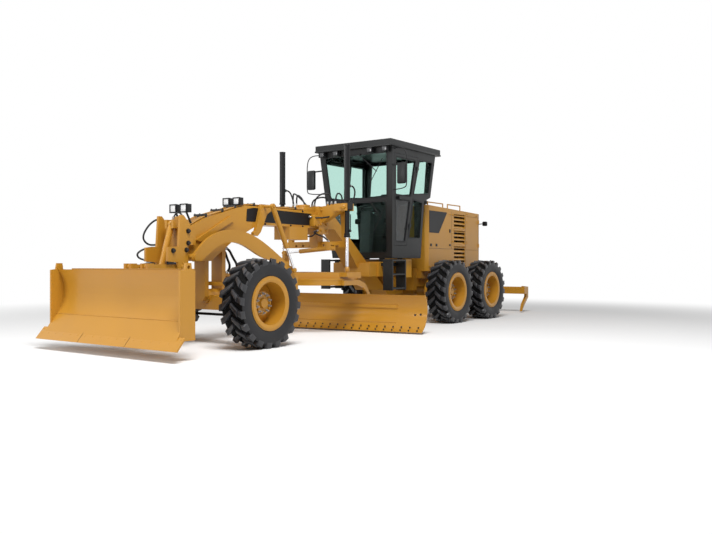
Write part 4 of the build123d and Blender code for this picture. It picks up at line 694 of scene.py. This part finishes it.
# Hoses. Braided rubber hoses with a smooth black cover and crimped steel ends.
hose_rubber = coated(
    "hose_rubber", (0.004, 0.004, 0.005), (0.009, 0.009, 0.010), 0.36, 0.52, bump=0.12, grain=900, shine=0.3,
)
hose_runs = {
    # name: body, diameter, stiffness, points
    "hose_tower_upper": ("front", 0.026, "medium", [
        (0.68, -0.242, 1.745), (0.70, -0.30, 1.77), (0.82, -0.35, 1.67), (0.92, -0.36, 1.50),
        (0.84, -0.34, 1.40), (0.74, -0.29, 1.40), (0.68, -0.242, 1.41),
    ]),
    "hose_tower_lower": ("front", 0.026, "medium", [
        (0.70, -0.242, 1.36), (0.78, -0.29, 1.37), (0.93, -0.33, 1.34), (1.03, -0.34, 1.27),
        (0.99, -0.31, 1.20), (0.93, -0.242, 1.19),
    ]),
    "hose_tower_inner": ("front", 0.022, "medium", [
        (0.60, 0.09, 1.79), (0.64, 0.10, 1.84), (0.70, 0.08, 1.83), (0.735, 0.07, 1.77), (0.73, 0.06, 1.742),
    ]),
    "hose_axle_1": ("front", 0.036, "stiff", [
        (-0.205, 0.085, 1.37), (-0.26, 0.115, 1.36), (-0.32, 0.13, 1.24), (-0.43, 0.125, 1.12),
        (-0.45, 0.06, 1.03), (-0.37, 0.025, 1.002),
    ]),
    "hose_axle_2": ("front", 0.036, "stiff", [
        (-0.205, 0.040, 1.34), (-0.25, 0.045, 1.33), (-0.29, 0.05, 1.22), (-0.37, 0.03, 1.12),
        (-0.38, -0.005, 1.04), (-0.32, -0.015, 1.002),
    ]),
    "hose_lift_right": ("lift_barrel_right", 0.026, "medium", [
        (-2.450, -0.70, 2.425), (-2.55, -0.70, 2.44), (-2.63, -0.69, 2.33), (-2.62, -0.64, 2.17),
        (-2.54, -0.60, 2.12), (-2.485, -0.60, 2.09),
    ]),
    "hose_lift_left": ("lift_barrel_left", 0.026, "medium", [
        (-2.450, 0.70, 2.425), (-2.55, 0.70, 2.44), (-2.63, 0.69, 2.33), (-2.62, 0.64, 2.17),
        (-2.54, 0.60, 2.12), (-2.485, 0.60, 2.09),
    ]),
    "hose_saddle_1": ("front", 0.026, "medium", [
        (-2.275, 0.10, 2.104), (-2.25, 0.12, 2.22), (-2.28, 0.26, 2.32), (-2.38, 0.38, 2.30),
        (-2.38, 0.38, 2.140),
    ]),
    "hose_saddle_2": ("front", 0.026, "medium", [
        (-2.06, 0.155, 1.92), (-2.10, 0.24, 1.89), (-2.36, 0.40, 1.92), (-2.52, 0.44, 2.05),
        (-2.56, 0.48, 2.24), (-2.48, 0.47, 2.33), (-2.39, 0.46, 2.29), (-2.38, 0.46, 2.140),
    ]),
    "hose_saddle_3": ("front", 0.026, "medium", [
        (-2.275, 0.05, 2.104), (-2.22, 0.08, 2.18), (-2.26, 0.20, 2.25), (-2.38, 0.30, 2.25),
        (-2.38, 0.30, 2.140),
    ]),
    "hose_saddle_4": ("front", 0.026, "medium", [
        (-2.275, -0.10, 2.104), (-2.25, -0.12, 2.22), (-2.28, -0.26, 2.32), (-2.38, -0.38, 2.30),
        (-2.38, -0.38, 2.140),
    ]),
    "hose_saddle_5": ("front", 0.026, "medium", [
        (-2.275, -0.05, 2.104), (-2.22, -0.10, 2.20), (-2.26, -0.34, 2.36), (-2.38, -0.46, 2.30),
        (-2.38, -0.46, 2.140),
    ]),
    "hose_beam_low": ("front", 0.024, "medium", [
        (-1.975, 0.12, 1.60), (-2.04, 0.14, 1.59), (-2.15, 0.17, 1.60), (-2.20, 0.19, 1.68),
        (-2.245, 0.19, 1.70),
    ]),
    "hose_shift": ("front", 0.026, "medium", [
        (-2.245, 0.13, 1.68), (-2.17, 0.16, 1.67), (-2.13, 0.28, 1.62), (-2.18, 0.40, 1.58),
        (-2.24, 0.43, 1.504),
    ]),
}
hose_ends = {body: bmesh.new() for body in ("lift_barrel_right", "lift_barrel_left", "front")}
for name, (body, diameter, bend, points) in hose_runs.items():
    piece = pipe(name, points, diameter, body, hose_rubber)
    for root, onward in ((points[0], points[1]), (points[-1], points[-2])):
        run = (Vector(onward) - Vector(root)).normalized()
        for foot, top, share, sides, edge in (
            # along the hose from its root: union nut, crimped ferrule
            (-0.004, 0.012, 0.82, 6, 0.0012), (0.010, 0.040, 0.62, 20, 0.001),
        ):
            start, end = (tuple(Vector(root) + run * reach) for reach in (foot, top))
            add_rod(hose_ends[body], start, end, diameter * share, sides=sides, edge=edge)
for body, form in hose_ends.items():
    piece = finished(f"hose_ends_{body}", form, body, steel)

# Cab doors. Curved-corner panes of tempered glass sit in black rubber seals, and the cab's fixed side panes
# have like seals.
cab_foot = 1.25
cab_rise = 1.98
side_lean = 0.144 / cab_rise
front_lean = 0.216 / cab_rise
door_panes = {
    "upper": [(-3.780, 2.385), (-3.710, 3.050), (-4.400, 3.050), (-4.308, 2.385)],
    "lower": [(-3.872, 1.545), (-3.790, 2.300), (-4.290, 2.300), (-4.195, 1.545)],
}


def skin_lean(form, side, depth):
    """Shear a form that was made about Y zero onto the leaning side of the cab, a little below its skin."""
    for vert in form.verts:
        skin = 0.673 + (vert.co.z - cab_foot) * side_lean
        vert.co.y += side * (skin - depth)


def spread(outline, growth):
    """Move an outline's corners away from its middle."""
    middle = Vector((sum(x for x, z in outline), sum(z for x, z in outline))) / len(outline)
    return [
        (x + (growth if x > middle.x else -growth), z + (growth if z > middle.y else -growth))
        for x, z in outline
    ]


for side, name in ((1, "left"), (-1, "right")):
    for level, outline in door_panes.items():
        form = bmesh.new()
        profile_sheet(form, spread(outline, 0.006), -0.003, 0.003, corner=0.03)
        skin_lean(form, side, 0.022)
        pane = cab_pane if level == "upper" else smoked_pane
        piece = finished(f"door_pane_{level}_{name}", form, f"cab_door_{name}", pane)
    form = bmesh.new()
    for outline in door_panes.values():
        profile_sheet(form, spread(outline, 0.012), -0.030, 0.004, corner=0.04, ring=0.024)
    skin_lean(form, side, 0.004)
    piece = finished(f"door_seals_{name}", form, f"cab_door_{name}", hose_rubber)
    form = bmesh.new()
    for outline in (
        [(-4.385, 2.430), (-4.530, 3.080), (-5.000, 3.080), (-4.930, 2.470)],
        [(-4.310, 1.620), (-4.390, 2.340), (-4.720, 2.300), (-4.720, 1.620)],
    ):
        profile_sheet(form, spread(outline, 0.012), -0.014, 0.004, corner=0.04, ring=0.024)
    skin_lean(form, side, 0.0)
    piece = finished(f"side_seals_{name}", form, "front", hose_rubber)

# Windscreens. Rubber seals hold the two front panes, with a wiper on each. The roof has a drip rail
# and a hatch plate, and the mirrors hang from bent tubes at its front corners.


def screen_x(z):
    """How far the windscreens' leaning plane lies from the front axle at a height."""
    return -3.790 + (z - cab_foot) * front_lean


form = bmesh.new()
for corners in (
    [(-0.640, 2.330), (-0.700, 3.130), (0.700, 3.130), (0.640, 2.330)],
    [(-0.570, 1.340), (-0.620, 2.270), (0.620, 2.270), (0.570, 1.340)],
):
    pane = bmesh.new()
    profile_sheet(pane, spread(corners, 0.012), -0.004, 0.014, corner=0.06, ring=0.026)
    for vert in pane.verts:
        across = vert.co.x - front_axle_x
        depth = vert.co.y
        vert.co.x = front_axle_x + screen_x(vert.co.z) - depth
        vert.co.y = across
    data = bpy.data.meshes.new("windscreen_seal")
    pane.to_mesh(data)
    pane.free()
    add_copy(form, data, Matrix.Identity(4))
piece = finished("windscreen_seals", form, "front", hose_rubber)
form = bmesh.new()
for pivot, tip, blade in (
    ((0.11, 3.12), (0.46, 2.80), ((0.30, 2.60), (0.60, 3.02))),
    ((0.30, 2.25), (0.50, 1.95), ((0.32, 1.72), (0.57, 2.15))),
):
    for (start_y, start_z), (end_y, end_z), thick in ((pivot, tip, 0.008), (*blade, 0.007)):
        add_rod(
            form, (screen_x(start_z) + 0.016, start_y, start_z),
            (screen_x(end_z) + 0.016, end_y, end_z), thick, sides=10, edge=0.001,
        )
    hub_x = screen_x(pivot[1])
    add_rod(form, (hub_x - 0.01, *pivot), (hub_x + 0.03, *pivot), 0.02, sides=20, edge=0.002)
piece = finished("wipers", form, "front", black_paint)
form = bmesh.new()
add_box(form, (-5.262, -0.852, 3.222), (-3.468, 0.852, 3.252), 0.006)
add_box(form, (-5.05, -0.70, 3.335), (-3.68, 0.70, 3.3445), 0.003)
for side in (1, -1):
    add_box(form, (-3.605, side * 1.01 - 0.088, 2.545), (-3.538, side * 1.01 + 0.088, 2.915), 0.028)
piece = finished("roof_trim", form, "front", charcoal_paint)
for side, name in ((1, "left"), (-1, "right")):
    hoop = [
        (-3.66, side * 0.815, 3.19), (-3.60, side * 0.90, 3.20), (-3.57, side * 1.05, 3.17),
        (-3.57, side * 1.115, 3.05), (-3.57, side * 1.115, 2.72), (-3.57, side * 1.115, 2.50),
        (-3.58, side * 1.05, 2.47), (-3.64, side * 0.90, 2.46), (-3.67, side * 0.775, 2.46),
    ]
    piece = pipe(f"mirror_hoop_{name}", hoop, 0.018, "front", black_paint)
form = bmesh.new()
for side in (1, -1):
    add_box(form, (-3.6095, side * 1.01 - 0.072, 2.565), (-3.604, side * 1.01 + 0.072, 2.895), 0.002)
piece = finished("mirror_glass", form, "front", chrome)

# Hood. A plain black panel with a slanted rear edge heads each side, with slam latches, a seam and
# corner bolts; a lamp on an arm and a dark air cap stand at the top.
for side, name in ((1, "left"), (-1, "right")):
    form = bmesh.new()
    near = 0.5495 if side > 0 else -0.5545
    profile_sheet(
        form, [(-5.330, 2.200), (-6.060, 2.195), (-5.715, 1.762), (-5.330, 1.762)],
        near, near + 0.005, corner=0.012,
    )
    piece = finished(f"hood_panel_{name}", form, "rear", black_paint)
    form = bmesh.new()
    face_y = side * 0.551
    for x, z, wide, high in (
        (-5.40, 1.52, 0.06, 0.05), (-5.62, 1.52, 0.06, 0.05), (-6.18, 1.82, 0.05, 0.07),
        (-6.18, 1.53, 0.06, 0.04),
    ):
        add_box(
            form, (x - wide / 2, min(face_y - side * 0.004, face_y + side * 0.010), z - high / 2),
            (x + wide / 2, max(face_y - side * 0.004, face_y + side * 0.010), z + high / 2), 0.004,
        )
    piece = finished(f"hood_latches_{name}", form, "rear", dark_metal)
    form = bmesh.new()
    for start, end in (
        ((-5.32, 1.45), (-6.34, 1.45)), ((-6.26, 1.45), (-6.26, 2.21)), ((-6.88, 1.02), (-6.88, 2.24)),
        ((-7.50, 1.02), (-7.50, 2.22)),
    ):
        add_rod(form, (start[0], side * 0.5495, start[1]), (end[0], side * 0.5495, end[1]), 0.0028, sides=8)
    piece = finished(f"hood_seams_{name}", form, "rear", dark_metal)
    bolts(
        f"hood_bolts_{name}", "rear",
        [(x, side * 0.549, z) for x, z in (
            (-5.36, 1.09), (-5.80, 1.09), (-6.20, 1.09), (-6.20, 2.16), (-6.32, 1.12), (-6.32, 1.60),
            (-6.32, 2.16), (-6.86, 1.12), (-7.45, 1.12), (-7.10, 1.12), (-6.95, 2.205), (-7.40, 2.19),
        )],
        (0, side, 0), 0.026,
    )
    form = bmesh.new()
    add_rod(form, (-7.56, side * 0.50, 2.02), (-7.70, side * 0.58, 2.035), 0.010, sides=14)
    add_box(form, (-7.76, side * 0.60 - 0.05, 1.985), (-7.68, side * 0.60 + 0.05, 2.085), 0.02)
    piece = finished(f"rear_lamp_{name}", form, "rear", black_paint)
    form = bmesh.new()
    add_box(form, (-7.765, side * 0.60 - 0.036, 1.998), (-7.755, side * 0.60 + 0.036, 2.072), 0.003)
    piece = finished(f"rear_lens_{name}", form, "rear", lens_glass)
form = bmesh.new()
add_rod(form, (-6.00, 0, 2.27), (-6.00, 0, 2.40), 0.07, sides=40)
add_rod(form, (-6.00, 0, 2.39), (-6.00, 0, 2.47), 0.12, 0.105, sides=48, edge=0.02)
piece = finished("air_cap", form, "rear", black_paint)

# Cab steps. Six dark grip strips lie across each tread, so that a muddy boot holds.
form = bmesh.new()
for side in (1, -1):
    for tread_z in (0.715, 0.965, 1.215):
        for strip in range(6):
            x = -4.03 + strip * 0.08
            low = (x, side * 0.70 - 0.085, tread_z - 0.002)
            add_box(form, low, (x + 0.022, side * 0.70 + 0.085, tread_z + 0.006), 0.002)
piece = finished("tread_grips", form, "front", dark_metal)

# Driver's station. A hood on the steering column, a display on a pillar and two pods of three
# short levers beside the seat.
form = bmesh.new()
add_box(form, (-4.11, -0.13, 2.10), (-4.00, 0.13, 2.20), 0.02)
add_box(form, (-4.02, 0.30, 2.22), (-3.98, 0.52, 2.42), 0.012)
for side in (1, -1):
    add_box(form, (-4.44, side * 0.33 - 0.05, 1.90), (-4.10, side * 0.33 + 0.05, 2.00), 0.02)
    for lever in range(3):
        x = -4.14 - lever * 0.06
        add_rod(form, (x, side * 0.33, 1.99), (x + 0.02, side * 0.33, 2.10), 0.008, sides=12)
        knob = (x + 0.018, side * 0.33, 2.09)
        add_rod(form, knob, (x + 0.022, side * 0.33, 2.125), 0.017, 0.012, sides=16, edge=0.004)
piece = finished("controls", form, "front", black_paint)
